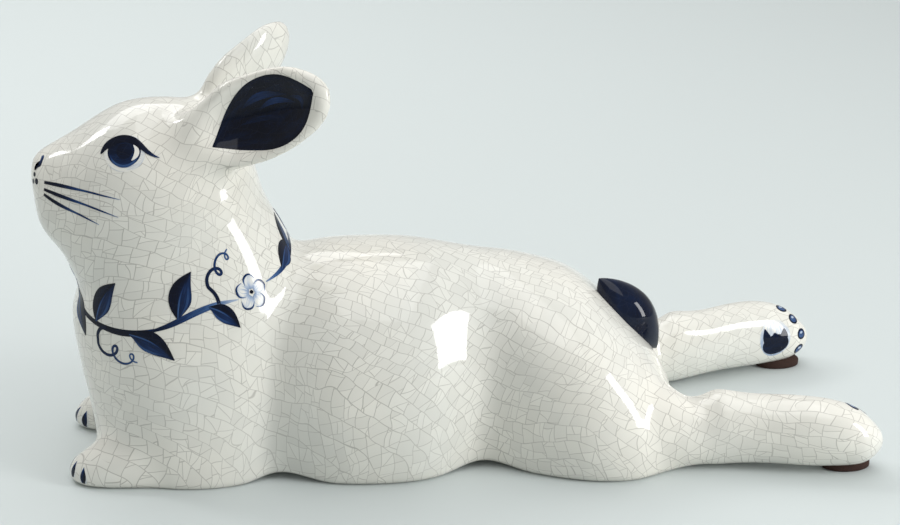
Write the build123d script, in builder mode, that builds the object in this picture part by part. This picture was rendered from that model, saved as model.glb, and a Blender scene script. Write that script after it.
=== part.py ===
import os
from math import cos, pi, sin

from build123d import *

os.makedirs("parts", exist_ok=True)

# Overall sizes of the reclining rabbit, in millimetres
LENGTH = 391.0  # nose to hind toes
CROWN_HEIGHT = 174.0  # ground to the top of the head
BACK_HEIGHT = 100.0  # ground to the top of the back
BODY_WIDTH = 138.0  # across the haunches
WALL = 6.0  # thickness of the cast clay shell
FLOOR = 9.0  # thickness of the shell's base

# Base
VENT_DIAMETER = 9.0  # firing vent through the base
ARCH_RISE = 3.0  # how far the base lifts under each waist
ARCH_SPAN = 46.0  # length of each lifted stretch
VALLEY_RADIUS = 8.0  # soft valley between the chest and the belly

# Forelegs
PAW_WIDTH = 27.0
PAW_HEIGHT = 22.0

# Hind legs
FOOT_WIDTH = 30.0
FOOT_HEIGHT = 38.0
PAD_LENGTH = 24.0  # brown pad under the toes
PAD_WIDTH = 18.0
PAD_EDGE = 1.0  # rounding of the pad's lower rim

# Ears
EAR_LENGTH = 65.0  # from the head to the tip
EAR_WIDTH = 43.0
EAR_DEPTH = 18.0  # thickness of the uncut leaf
EAR_BOWL_DEPTH = 15.0  # size of the hollow across its depth
EAR_LIP = 4.0  # rim left around the hollow

# Tail
TAIL_LENGTH = 48.0
TAIL_WIDTH = 25.0

# Shares that shape every oval section
OVAL_POINTS = 12
FULLNESS_SHARE = 0.03

# Head, neck and chest, nose first, one row per section:
# upper end (along, up), lower end (along, up) and half width,
# as shares of the length, the crown height and half the body width
COLUMN_SHARES = [
    (0.004, 0.845, 0.001, 0.799, 0.058),
    (0.013, 0.868, 0.003, 0.747, 0.167),
    (0.037, 0.897, 0.006, 0.690, 0.261),
    (0.066, 0.934, 0.014, 0.649, 0.348),
    (0.107, 0.984, 0.026, 0.612, 0.428),
    (0.153, 0.997, 0.035, 0.578, 0.500),
    (0.202, 0.983, 0.043, 0.532, 0.551),
    (0.240, 0.928, 0.047, 0.497, 0.580),
    (0.261, 0.833, 0.041, 0.454, 0.594),
    (0.271, 0.736, 0.038, 0.414, 0.616),
    (0.292, 0.644, 0.040, 0.351, 0.667),
    (0.312, 0.517, 0.045, 0.270, 0.725),
    (0.317, 0.356, 0.051, 0.184, 0.754),
    (0.317, 0.172, 0.056, 0.086, 0.754),
    (0.317, -0.020, 0.061, -0.020, 0.725),
]

# Belly and haunches, chest first, one row per upright section:
# along, top, bottom and half width,
# as shares of the length, the back height and half the body width
TRUNK_SHARES = [
    (0.205, 0.880, -0.360, 0.464),
    (0.274, 0.960, -0.360, 0.667),
    (0.338, 1.000, -0.360, 0.833),
    (0.402, 1.000, -0.360, 0.884),
    (0.460, 0.985, -0.360, 0.826),
    (0.519, 0.945, -0.360, 0.667),
    (0.568, 0.905, -0.360, 0.790),
    (0.619, 0.840, -0.360, 0.942),
    (0.660, 0.760, -0.360, 1.000),
    (0.706, 0.600, -0.340, 0.971),
    (0.742, 0.440, -0.300, 0.841),
    (0.762, 0.300, -0.220, 0.638),
    (0.772, 0.140, -0.100, 0.203),
]

# Foreleg, toes first: along, out, up, half width, half height,
# as shares of the length, half the body width, the paw height,
# the paw width and the paw height
FORELEG_SHARES = [
    (0.024, 0.449, 0.205, 0.148, 0.182),
    (0.032, 0.449, 0.205, 0.333, 0.318),
    (0.051, 0.457, 0.205, 0.463, 0.523),
    (0.082, 0.478, 0.273, 0.500, 0.682),
    (0.120, 0.493, 0.318, 0.500, 0.727),
    (0.164, 0.478, 0.273, 0.481, 0.636),
    (0.194, 0.449, 0.227, 0.296, 0.364),
]

# Hind leg, thigh first: along, out, up, half width, half height and lean,
# as shares of the length, half the body width, the foot height,
# the foot width, the foot height and a right angle
HIND_LEG_SHARES = [
    (0.670, 0.551, 0.450, 0.500, 0.440, 0.00),
    (0.721, 0.623, 0.500, 0.650, 0.560, 0.00),
    (0.757, 0.667, 0.447, 0.583, 0.500, 0.00),
    (0.777, 0.688, 0.434, 0.533, 0.447, 0.00),
    (0.801, 0.710, 0.474, 0.500, 0.461, 0.02),
    (0.836, 0.754, 0.487, 0.483, 0.447, 0.05),
    (0.875, 0.819, 0.500, 0.483, 0.442, 0.09),
    (0.913, 0.877, 0.500, 0.483, 0.447, 0.15),
    (0.949, 0.913, 0.474, 0.460, 0.408, 0.20),
    (0.977, 0.928, 0.421, 0.367, 0.303, 0.20),
    (0.9985, 0.928, 0.382, 0.120, 0.095, 0.20),
]

# Ear, root first: along, half width and half depth,
# as shares of the ear's length, width and depth
EAR_SHARES = [
    (-0.16, 0.34, 0.44),
    (0.02, 0.40, 0.46),
    (0.20, 0.46, 0.48),
    (0.42, 0.50, 0.50),
    (0.62, 0.48, 0.47),
    (0.80, 0.40, 0.38),
    (0.93, 0.25, 0.24),
    (0.995, 0.06, 0.08),
]

# Hollow of the ear, one row per section:
# along, half width and half depth, as shares of the ear's length,
# the width inside the lip and the hollow's depth
EAR_BOWL_SHARES = [
    (0.03, 0.08, 0.08),
    (0.12, 0.27, 0.26),
    (0.28, 0.42, 0.44),
    (0.45, 0.50, 0.50),
    (0.62, 0.49, 0.48),
    (0.78, 0.36, 0.36),
    (0.87, 0.18, 0.18),
    (0.91, 0.05, 0.05),
]

# Where each ear stands: root and tip (along, out, up) and the way its
# hollow faces, as shares of the length, half the body width and the
# crown height; the right ear stands more upright than the left
LEFT_EAR_ROOT_SHARES = (0.202, -0.362, 0.922)
LEFT_EAR_TIP_SHARES = (0.336, -0.580, 1.075)
LEFT_EAR_FACING_SHARES = (-0.40, -0.90, 0.15)
RIGHT_EAR_ROOT_SHARES = (0.202, 0.272, 0.888)
RIGHT_EAR_TIP_SHARES = (0.302, 0.493, 1.129)
RIGHT_EAR_FACING_SHARES = (-0.72, 0.62, 0.30)

# Tail: middle (along, up), and the run and rise of its slope
TAIL_MIDDLE_SHARES = (0.717, 0.580)
TAIL_SLOPE_SHARES = (0.62, -0.79)
TAIL_POINT_SHARE = 0.05  # blunt end radius as a share of the width

# Places along the base, as shares of the length
VENT_SHARE = 0.40
FRONT_ARCH_SHARE = 0.283
REAR_ARCH_SHARE = 0.522
PAD_ALONG_SHARE = 0.957
PAD_OUT_SHARE = 0.860
PAD_TOP_SHARE = 0.17  # height to which the pad is drawn, of the foot height

# Stretch in which the chest meets the belly
VALLEY_SHARES = (0.24, 0.33)

# Row of the column at which the head is joined to the neck
SEAM_ROW = 9

half_width = BODY_WIDTH / 2


def along(share):
    """Distance along the rabbit, the nose in front and the toes behind."""
    return (share - 1 / 2) * LENGTH


def oval(plane, half_across, half_up):
    """A smooth closed section, a little fuller than an ellipse."""
    turns = [2 * pi * step / OVAL_POINTS for step in range(OVAL_POINTS)]
    points = []
    for turn in turns:
        swell = 1 + FULLNESS_SHARE * sin(2 * turn) ** 2
        points.append((half_across * cos(turn) * swell, half_up * sin(turn) * swell))
    with BuildSketch(plane) as section:
        with BuildLine():
            add(Edge.make_spline(points, periodic=True, parameters=[*turns, 2 * pi]))
        make_face()
    return section.sketch


def column_section(row, inset):
    """Section of the head, neck or chest between its upper and lower end."""
    top = Vector(along(row[0]), 0, row[1] * CROWN_HEIGHT)
    low = Vector(along(row[2]), 0, row[3] * CROWN_HEIGHT)
    rise = top - low
    facing = Vector(rise.Z, 0, -rise.X)
    plane = Plane(origin=(top + low) / 2, x_dir=(0, 1, 0), z_dir=facing)
    return oval(plane, row[4] * half_width - inset, rise.length / 2 - inset)


def trunk_section(row, inset):
    """Upright section of the belly or the haunches."""
    top = row[1] * BACK_HEIGHT
    low = row[2] * BACK_HEIGHT
    plane = Plane(origin=(along(row[0]), 0, (top + low) / 2), x_dir=(0, 1, 0), z_dir=(1, 0, 0))
    return oval(plane, row[3] * half_width - inset, (top - low) / 2 - inset)


def leg_section(row, side, width, height):
    """Upright section of a leg on one side, leaning outward at the top."""
    lean = side * row[5] * pi / 2
    plane = Plane(
        origin=(along(row[0]), side * row[1] * half_width, row[2] * height),
        x_dir=(0, cos(lean), -sin(lean)),
        z_dir=(1, 0, 0),
    )
    return oval(plane, row[3] * width, row[4] * height)


def in_valley(edge):
    """Whether an edge runs up the flank where the chest meets the belly."""
    box = edge.bounding_box()
    within = along(VALLEY_SHARES[0]) < box.min.X and box.max.X < along(VALLEY_SHARES[1])
    return within and box.max.Z > FLOOR


def ear_plane(root_shares, tip_shares, facing_shares, share, lift):
    """Plane across an ear, a share of its length from root to tip."""
    root = Vector(along(root_shares[0]), root_shares[1] * half_width, root_shares[2] * CROWN_HEIGHT)
    tip = Vector(along(tip_shares[0]), tip_shares[1] * half_width, tip_shares[2] * CROWN_HEIGHT)
    axis = (tip - root).normalized()
    facing = Vector(*facing_shares)
    facing = (facing - axis * facing.dot(axis)).normalized()
    origin = root + axis * (share * EAR_LENGTH) + facing * lift
    return Plane(origin=origin, x_dir=facing.cross(axis), z_dir=axis)


def ear_sections(root_shares, tip_shares, facing_shares):
    """Outer sections of one ear."""
    sections = []
    for share, wide, deep in EAR_SHARES:
        plane = ear_plane(root_shares, tip_shares, facing_shares, share, 0)
        sections.append(oval(plane, wide * EAR_WIDTH, deep * EAR_DEPTH))
    return sections


def ear_bowl_sections(root_shares, tip_shares, facing_shares):
    """Sections of the hollow in the front of one ear."""
    sections = []
    for share, wide, deep in EAR_BOWL_SHARES:
        plane = ear_plane(root_shares, tip_shares, facing_shares, share, EAR_DEPTH / 2)
        sections.append(oval(plane, wide * (EAR_WIDTH - 2 * EAR_LIP), deep * 2 * EAR_BOWL_DEPTH))
    return sections


# Seam plane, tilted from the nape down to the throat
seam_shares = COLUMN_SHARES[SEAM_ROW]
nape = Vector(along(seam_shares[0]), 0, seam_shares[1] * CROWN_HEIGHT)
throat = Vector(along(seam_shares[2]), 0, seam_shares[3] * CROWN_HEIGHT)
seam_rise = nape - throat
neck_seam = Plane(origin=throat, x_dir=(0, 1, 0), z_dir=(-seam_rise.Z, 0, seam_rise.X))

# Rows drawn on past the seam, so that both sides meet it in one sweep
head_rows = COLUMN_SHARES[: SEAM_ROW + 2]
chest_rows = COLUMN_SHARES[SEAM_ROW - 1 :]

# Outer form of the head, before it is hollowed
head_sections = [column_section(row, 0) for row in head_rows]
with BuildPart() as head_form:
    loft(sections=head_sections)
    split(bisect_by=neck_seam, keep=Keep.TOP)

# Outer form of the body, before it is hollowed
chest_sections = [column_section(row, 0) for row in chest_rows]
trunk_sections = [trunk_section(row, 0) for row in TRUNK_SHARES]
with BuildPart() as body_form:
    loft(sections=chest_sections)
    split(bisect_by=neck_seam, keep=Keep.BOTTOM)
    loft(sections=trunk_sections)
    split(bisect_by=Plane.XY, keep=Keep.TOP)
    fillet(body_form.edges().filter_by(in_valley), VALLEY_RADIUS)

# Head
head_hollow_sections = [column_section(row, WALL) for row in head_rows[2:]]
with BuildPart() as head:
    add(head_form.part)
    loft(sections=head_hollow_sections, mode=Mode.SUBTRACT)
head.part.label = "head"
export_step(head.part, "parts/head.step")

# Hollow inside the body
chest_hollow_sections = [column_section(row, WALL) for row in chest_rows]
trunk_hollow_sections = [trunk_section(row, WALL) for row in TRUNK_SHARES[:-2]]
with BuildPart() as body_hollow:
    loft(sections=chest_hollow_sections)
    loft(sections=trunk_hollow_sections)
    split(bisect_by=Plane.XY.offset(FLOOR), keep=Keep.TOP)

# Torso
arch_radius = (ARCH_SPAN**2 / 4 + ARCH_RISE**2) / (2 * ARCH_RISE)
with BuildPart() as torso:
    add(body_form.part)
    add(body_hollow.part, mode=Mode.SUBTRACT)
    for arch_share in (FRONT_ARCH_SHARE, REAR_ARCH_SHARE):
        with BuildSketch(Plane.XZ):
            with Locations((along(arch_share), ARCH_RISE - arch_radius)):
                Circle(arch_radius)
        extrude(amount=BODY_WIDTH, both=True, mode=Mode.SUBTRACT)
    with Locations((along(VENT_SHARE), 0, 0)):
        Cylinder(VENT_DIAMETER / 2, 2 * FLOOR + ARCH_RISE, mode=Mode.SUBTRACT)
torso.part.label = "torso"
export_step(torso.part, "parts/torso.step")

# Left ear
left_ear_pose = (LEFT_EAR_ROOT_SHARES, LEFT_EAR_TIP_SHARES, LEFT_EAR_FACING_SHARES)
left_ear_outer = ear_sections(*left_ear_pose)
left_ear_inner = ear_bowl_sections(*left_ear_pose)
with BuildPart() as left_ear:
    loft(sections=left_ear_outer)
    loft(sections=left_ear_inner, mode=Mode.SUBTRACT)
    add(head_form.part, mode=Mode.SUBTRACT)
left_ear.part.label = "left_ear"
export_step(left_ear.part, "parts/left_ear.step")

# Right ear
right_ear_pose = (RIGHT_EAR_ROOT_SHARES, RIGHT_EAR_TIP_SHARES, RIGHT_EAR_FACING_SHARES)
right_ear_outer = ear_sections(*right_ear_pose)
right_ear_inner = ear_bowl_sections(*right_ear_pose)
with BuildPart() as right_ear:
    loft(sections=right_ear_outer)
    loft(sections=right_ear_inner, mode=Mode.SUBTRACT)
    add(head_form.part, mode=Mode.SUBTRACT)
right_ear.part.label = "right_ear"
export_step(right_ear.part, "parts/right_ear.step")

# Tail, a spindle lying down the slope of the rump
tail_middle = Vector(along(TAIL_MIDDLE_SHARES[0]), 0, TAIL_MIDDLE_SHARES[1] * BACK_HEIGHT)
tail_slope = Vector(TAIL_SLOPE_SHARES[0], 0, TAIL_SLOPE_SHARES[1])
tail_plane = Plane(origin=tail_middle, x_dir=tail_slope, z_dir=(0, 1, 0))
tail_end = TAIL_LENGTH / 2
tail_tip_radius = TAIL_POINT_SHARE * TAIL_WIDTH
with BuildPart() as tail:
    with BuildSketch(tail_plane):
        with BuildLine():
            Spline(
                (-tail_end, tail_tip_radius),
                (0, TAIL_WIDTH / 2),
                (tail_end, tail_tip_radius),
            )
            Polyline(
                (tail_end, tail_tip_radius),
                (tail_end, 0),
                (-tail_end, 0),
                (-tail_end, tail_tip_radius),
            )
        make_face()
    revolve(axis=Axis(tail_middle, tail_slope))
    add(body_form.part, mode=Mode.SUBTRACT)
tail.part.label = "tail"
export_step(tail.part, "parts/tail.step")


def foreleg(side):
    """One foreleg and paw, seated on the chest."""
    sections = [leg_section((*row, 0), side, PAW_WIDTH, PAW_HEIGHT) for row in FORELEG_SHARES]
    with BuildPart() as leg:
        loft(sections=sections)
        split(bisect_by=Plane.XY, keep=Keep.TOP)
        add(body_form.part, mode=Mode.SUBTRACT)
    return leg.part


def hind_leg_form(side):
    """One hind leg before it is seated on the haunch."""
    sections = [leg_section(row, side, FOOT_WIDTH, FOOT_HEIGHT) for row in HIND_LEG_SHARES]
    with BuildPart() as leg:
        loft(sections=sections)
        split(bisect_by=Plane.XY, keep=Keep.TOP)
    return leg.part


def hind_leg(side):
    """One hind leg, seated on the haunch."""
    form = hind_leg_form(side)
    with BuildPart() as leg:
        add(form)
        add(body_form.part, mode=Mode.SUBTRACT)
    return leg.part


def foot_pad(side):
    """Brown pad under the toes of one hind foot."""
    form = hind_leg_form(side)
    with BuildPart() as pad:
        with BuildSketch(Plane.XY):
            with Locations((along(PAD_ALONG_SHARE), side * PAD_OUT_SHARE * half_width)):
                Ellipse(PAD_LENGTH / 2, PAD_WIDTH / 2)
        extrude(amount=PAD_TOP_SHARE * FOOT_HEIGHT)
        fillet(pad.edges().group_by(Axis.Z)[0], PAD_EDGE)
        add(form, mode=Mode.SUBTRACT)
    return pad.part


# Legs and pads, the left side toward -Y
for side, side_name in ((-1, "left"), (1, "right")):
    for piece, piece_name in (
        (foreleg(side), "foreleg"),
        (hind_leg(side), "hind_leg"),
        (foot_pad(side), "foot_pad"),
    ):
        piece.label = side_name + "_" + piece_name
        export_step(piece, "parts/" + piece.label + ".step")
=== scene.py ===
# %% [markdown]
# # A reclining ceramic rabbit
# The real figure is slip-cast: liquid clay is poured into plaster moulds, and the
# hollow castings are joined with wet clay before they are glazed and fired. The
# joints are sponged smooth, so the glaze runs over them without a step. This
# lesson builds the same forms as numpy surfaces, melts them together, and then
# parts the skin again where the potter joined the pieces.

import bmesh
import bpy
import numpy as np
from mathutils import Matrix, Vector


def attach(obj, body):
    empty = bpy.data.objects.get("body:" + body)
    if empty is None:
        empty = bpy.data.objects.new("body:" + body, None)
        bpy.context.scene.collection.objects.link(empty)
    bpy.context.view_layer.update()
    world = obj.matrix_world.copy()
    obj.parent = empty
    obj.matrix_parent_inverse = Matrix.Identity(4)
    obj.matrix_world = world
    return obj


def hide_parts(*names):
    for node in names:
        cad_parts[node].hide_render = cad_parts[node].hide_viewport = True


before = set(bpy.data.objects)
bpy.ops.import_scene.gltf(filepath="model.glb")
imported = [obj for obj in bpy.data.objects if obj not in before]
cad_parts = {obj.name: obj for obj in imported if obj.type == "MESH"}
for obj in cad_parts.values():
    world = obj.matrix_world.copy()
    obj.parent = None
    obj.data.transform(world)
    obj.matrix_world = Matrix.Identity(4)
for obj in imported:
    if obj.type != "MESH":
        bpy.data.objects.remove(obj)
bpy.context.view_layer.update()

# %% [markdown]
# ## Smooth forms from a few sections
# A casting like this has no flat or sharp places, so each form is an oval that
# changes as it travels along the body. Sculpting could give the same forms, but a
# short table of ovals can be read, measured and changed.

# %% Sizes and tables
LENGTH = 0.391  # nose to hind toes, in metres
CROWN = 0.174  # top of the head
BACK = 0.100  # top of the back
HALF_WIDTH = 0.069  # half the width of the haunches
PAW_WIDTH, PAW_HEIGHT = 0.027, 0.022
FOOT_WIDTH, FOOT_HEIGHT = 0.030, 0.038
EAR_LENGTH, EAR_WIDTH, EAR_DEPTH = 0.065, 0.043, 0.018
EAR_BOWL_DEPTH, EAR_LIP = 0.015, 0.004

# head, neck and chest: upper end, lower end (along, up) and half width
COLUMN = [
    (0.002, 0.835, 0.001, 0.808, 0.030),
    (0.004, 0.847, 0.001, 0.794, 0.075),
    (0.013, 0.868, 0.003, 0.747, 0.167),
    (0.037, 0.897, 0.006, 0.690, 0.261),
    (0.066, 0.934, 0.014, 0.649, 0.348),
    (0.107, 0.984, 0.026, 0.612, 0.428),
    (0.153, 0.997, 0.035, 0.578, 0.500),
    (0.202, 0.983, 0.043, 0.532, 0.551),
    (0.240, 0.928, 0.047, 0.497, 0.580),
    (0.261, 0.833, 0.041, 0.454, 0.594),
    (0.271, 0.736, 0.038, 0.414, 0.616),
    (0.292, 0.644, 0.040, 0.351, 0.667),
    (0.312, 0.517, 0.045, 0.270, 0.725),
    (0.317, 0.356, 0.051, 0.184, 0.754),
    (0.317, 0.172, 0.056, 0.086, 0.754),
    (0.317, -0.060, 0.061, -0.060, 0.725),
]
# belly and haunches: along, top, bottom and half width
TRUNK = [
    (0.205, 0.880, -0.360, 0.464),
    (0.274, 0.960, -0.360, 0.667),
    (0.338, 1.000, -0.360, 0.833),
    (0.402, 1.000, -0.360, 0.884),
    (0.460, 0.985, -0.360, 0.826),
    (0.519, 0.945, -0.360, 0.667),
    (0.568, 0.905, -0.360, 0.790),
    (0.619, 0.840, -0.360, 0.942),
    (0.660, 0.760, -0.360, 1.000),
    (0.706, 0.600, -0.340, 0.971),
    (0.742, 0.440, -0.300, 0.841),
    (0.762, 0.300, -0.220, 0.638),
    (0.772, 0.140, -0.100, 0.203),
]
# foreleg, toes first: along, out, up, half width, half height, lean
FORELEG = [
    (0.024, 0.449, 0.205, 0.148, 0.182, 0.0),
    (0.032, 0.449, 0.205, 0.333, 0.318, 0.0),
    (0.051, 0.457, 0.205, 0.463, 0.523, 0.0),
    (0.082, 0.478, 0.273, 0.500, 0.682, 0.0),
    (0.120, 0.493, 0.318, 0.500, 0.727, 0.0),
    (0.164, 0.478, 0.273, 0.481, 0.636, 0.0),
    (0.194, 0.449, 0.227, 0.296, 0.364, 0.0),
]
# hind leg, thigh first: along, out, up, half width, half height, lean
HIND_LEG = [
    (0.670, 0.551, 0.450, 0.500, 0.440, 0.00),
    (0.721, 0.623, 0.500, 0.650, 0.560, 0.00),
    (0.757, 0.667, 0.447, 0.583, 0.500, 0.00),
    (0.777, 0.688, 0.405, 0.530, 0.412, 0.00),
    (0.799, 0.710, 0.478, 0.500, 0.478, 0.02),
    (0.836, 0.754, 0.487, 0.483, 0.447, 0.05),
    (0.875, 0.819, 0.500, 0.483, 0.442, 0.09),
    (0.913, 0.877, 0.500, 0.483, 0.447, 0.15),
    (0.949, 0.913, 0.474, 0.460, 0.408, 0.20),
    (0.977, 0.928, 0.421, 0.367, 0.303, 0.20),
    (0.9985, 0.928, 0.382, 0.120, 0.095, 0.20),
]
# ear, root first: along, half width and half depth
EAR = [
    (-0.16, 0.34, 0.44),
    (0.02, 0.40, 0.46),
    (0.20, 0.46, 0.48),
    (0.42, 0.50, 0.50),
    (0.62, 0.48, 0.47),
    (0.80, 0.40, 0.38),
    (0.93, 0.25, 0.24),
    (0.995, 0.06, 0.08),
]
EAR_BOWL_MIDDLE, EAR_BOWL_REACH = 0.47, 0.44  # along the ear
EAR_POSES = {
    "left": ((0.202, -0.362, 0.922), (0.336, -0.580, 1.075), (-0.40, -0.90, 0.15)),
    "right": ((0.202, 0.272, 0.888), (0.302, 0.493, 1.129), (-0.72, 0.62, 0.30)),
}  # root and tip as shares of length, half width and crown, and the way the hollow faces
print("stations", len(COLUMN), len(TRUNK), len(FORELEG), len(HIND_LEG), len(EAR))

# %% [markdown]
# Straight lines between the stations would show as facets in the gloss. A natural
# cubic curve bends evenly through them, and one small system of equations solves
# it for all columns of a table at once.

# %% A curve through the stations
def along(share):
    """Distance along the rabbit, measured from the middle of its length."""
    return (share - 0.5) * LENGTH


def smooth_rows(rows, count):
    """A natural cubic curve through the rows, sampled at even steps.

    The second differences m solve m[i-1] + 4 m[i] + m[i+1] = 6 (y[i+1] - 2 y[i] + y[i-1]),
    and each span blends its two ends and their second differences.
    """
    y = np.asarray(rows, float)
    n = len(y)
    system = np.eye(n)
    right = np.zeros_like(y)
    inner = np.arange(1, n - 1)
    system[inner, inner] = 4.0
    system[inner, inner - 1] = 1.0
    system[inner, inner + 1] = 1.0
    right[inner] = 6.0 * (y[2:] - 2.0 * y[1:-1] + y[:-2])
    m = np.linalg.solve(system, right)
    t = np.linspace(0.0, n - 1.0, count)
    i = np.minimum(t.astype(int), n - 2)
    b = (t - i)[:, None]
    a = 1.0 - b
    return a * y[i] + b * y[i + 1] + ((a**3 - a) * m[i] + (b**3 - b) * m[i + 1]) / 6.0


print("the curve meets its stations:", np.allclose(smooth_rows(TRUNK, len(TRUNK)), TRUNK))

# %% [markdown]
# Head and chest, belly and haunches, and the legs are rows of ovals. A true
# ellipse looks thin for a casting, so each one swells a little between its ends.

# %% Ovals along the body
ROUND = 96  # points around an oval
FULLER = 0.03  # how far an oval stands out beyond an ellipse
turn = np.linspace(0.0, 2.0 * np.pi, ROUND, endpoint=False)
swell = 1.0 + FULLER * np.sin(2.0 * turn) ** 2


def oval_rings(middle, across, rise, half_across, half_up):
    """Rings: middle + across * a cos(turn) + rise * b sin(turn), a little fuller than ellipses."""
    sideways = (half_across[:, None] * np.cos(turn) * swell)[..., None]
    upward = (half_up[:, None] * np.sin(turn) * swell)[..., None]
    return middle[:, None] + sideways * across[:, None] + upward * rise[:, None]


def column_rings(count=220):
    """Head, neck and chest: each oval spans from its upper end to its lower end."""
    r = smooth_rows(COLUMN, count)
    zero = np.zeros(count)
    top = np.stack([along(r[:, 0]), zero, r[:, 1] * CROWN], 1)
    low = np.stack([along(r[:, 2]), zero, r[:, 3] * CROWN], 1)
    span = top - low
    half = np.linalg.norm(span, axis=1) / 2.0
    sideways = np.tile([0.0, 1.0, 0.0], (count, 1))
    upward = span / (2.0 * half[:, None])
    return oval_rings((top + low) / 2.0, sideways, upward, r[:, 4] * HALF_WIDTH, half)


def trunk_rings(count=180):
    """Belly and haunches: upright ovals, narrow at the waist."""
    r = smooth_rows(TRUNK, count)
    zero = np.zeros(count)
    middle = np.stack([along(r[:, 0]), zero, (r[:, 1] + r[:, 2]) / 2.0 * BACK], 1)
    sideways = np.tile([0.0, 1.0, 0.0], (count, 1))
    upward = np.tile([0.0, 0.0, 1.0], (count, 1))
    return oval_rings(middle, sideways, upward, r[:, 3] * HALF_WIDTH, (r[:, 1] - r[:, 2]) / 2.0 * BACK)


def leg_rings(rows, side, width, height, count=140):
    """A leg: upright ovals whose tops lean outward by the last share of a right angle."""
    r = smooth_rows(rows, count)
    lean = side * r[:, 5] * np.pi / 2.0
    middle = np.stack([along(r[:, 0]), side * r[:, 1] * HALF_WIDTH, r[:, 2] * height], 1)
    zero = np.zeros(count)
    sideways = np.stack([zero, np.cos(lean), -np.sin(lean)], 1)
    upward = np.stack([zero, np.sin(lean), np.cos(lean)], 1)
    return oval_rings(middle, sideways, upward, r[:, 3] * width, r[:, 4] * height)


print("rings of head and chest", column_rings().shape, "and of the trunk", trunk_rings().shape)

# %% [markdown]
# A real ear is pressed from a slab and cupped by hand. A boolean would leave a
# knife edge around the hollow, so the front of an oval leaf is lowered to a bowl
# wherever the bowl lies deeper.

# %% Ears
TINY = 1e-6  # keeps a division from meeting zero


def ear_axes(pose):
    """Root point and the ear's own directions: along, across and facing."""
    root_share, tip_share, facing = (np.array(v, float) for v in pose)
    scale = np.array([LENGTH, HALF_WIDTH, CROWN])
    shift = np.array([0.5, 0.0, 0.0])
    root = (root_share - shift) * scale
    axis = (tip_share - shift) * scale - root
    axis /= np.linalg.norm(axis)
    facing = facing - axis * facing.dot(axis)
    facing /= np.linalg.norm(facing)
    return root, axis, np.cross(facing, axis), facing


def ear_rings(pose, count=110):
    """An oval leaf whose front is pressed in: the nearer of the oval and a bowl, which is
    lift - depth * sqrt(1 - (across / reach)^2)."""
    root, axis, across, facing = ear_axes(pose)
    r = smooth_rows(EAR, count)
    wide = (r[:, 1] * EAR_WIDTH)[:, None] * np.cos(turn)
    deep = (r[:, 2] * EAR_DEPTH)[:, None] * np.sin(turn)
    fullness = np.sqrt(np.maximum(1.0 - ((r[:, 0] - EAR_BOWL_MIDDLE) / EAR_BOWL_REACH) ** 2, 0.0))
    reach = np.maximum(fullness * (EAR_WIDTH / 2.0 - EAR_LIP), TINY)[:, None]
    hollow = np.sqrt(np.maximum(1.0 - (wide / reach) ** 2, 0.0))
    bowl = EAR_DEPTH / 2.0 - (fullness * EAR_BOWL_DEPTH)[:, None] * hollow
    deep = np.where(hollow > 0.0, np.minimum(deep, bowl), deep)
    start = root + (r[:, 0] * EAR_LENGTH)[:, None] * axis
    return start[:, None] + wide[..., None] * across + deep[..., None] * facing


print("ear", EAR_LENGTH, "long, its hollow", EAR_BOWL_DEPTH, "deep")

# %% [markdown]
# Rings become a mesh when quads join neighbours and a fan closes each end. All
# forms go into one mesh, where they still overlap.

# %% Closed tubes
def closed_tube(rings):
    """Vertices and faces of a tube of rings, closed at both ends by fans."""
    count = len(rings)
    i, j = np.meshgrid(np.arange(count - 1), np.arange(ROUND), indexing="ij")
    here = i * ROUND + j
    beside = i * ROUND + (j + 1) % ROUND
    quads = np.stack([here, beside, beside + ROUND, here + ROUND], -1).reshape(-1, 4)
    rim = np.arange(ROUND)
    rim_next = (rim + 1) % ROUND
    first = np.full(ROUND, count * ROUND)
    last = first + 1
    end = (count - 1) * ROUND
    fans = np.concatenate(
        [np.stack([first, rim_next, rim], 1), np.stack([last, end + rim, end + rim_next], 1)]
    )
    ends = np.stack([rings[0].mean(0), rings[-1].mean(0)])
    points = np.concatenate([rings.reshape(-1, 3), ends])
    return points, quads.tolist() + fans.tolist()


def joined_mesh(name, tubes):
    """One mesh that holds several closed tubes."""
    points, faces, offset = [], [], 0
    for tube_points, tube_faces in tubes:
        points.append(tube_points)
        faces += [[v + offset for v in face] for face in tube_faces]
        offset += len(tube_points)
    mesh = bpy.data.meshes.new(name)
    mesh.from_pydata(np.concatenate(points).tolist(), [], faces)
    mesh.validate()
    return mesh


forms = [closed_tube(column_rings()), closed_tube(trunk_rings())]
for side in (-1, 1):
    forms.append(closed_tube(leg_rings(FORELEG, side, PAW_WIDTH, PAW_HEIGHT)))
    forms.append(closed_tube(leg_rings(HIND_LEG, side, FOOT_WIDTH, FOOT_HEIGHT)))
forms += [closed_tube(ear_rings(pose)) for pose in EAR_POSES.values()]
clay = joined_mesh("clay", forms)
print("clay forms", len(forms), "faces", len(clay.polygons))

# %% [markdown]
# ## Melting the forms together
# The potter sponges the joints, so each crease becomes a soft valley. A boolean
# union would keep the creases sharp. A voxel remesh turns the overlapping forms
# into one skin, and then every vertex moves towards the mean of its neighbours.

# %% Remesh and soften
VOXEL = 0.0015


def remeshed(mesh, voxel):
    """One watertight skin around everything in the mesh."""
    holder = bpy.data.objects.new("holder", mesh)
    bpy.context.scene.collection.objects.link(holder)
    melt = holder.modifiers.new("melt", "REMESH")
    melt.mode = "VOXEL"
    melt.voxel_size = voxel
    graph = bpy.context.evaluated_depsgraph_get()
    skin = bpy.data.meshes.new_from_object(holder.evaluated_get(graph))
    bpy.data.objects.remove(holder)
    return skin


def coordinates(mesh):
    """Vertex positions as an array."""
    flat = np.empty(len(mesh.vertices) * 3)
    mesh.vertices.foreach_get("co", flat)
    return flat.reshape(-1, 3)


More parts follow.
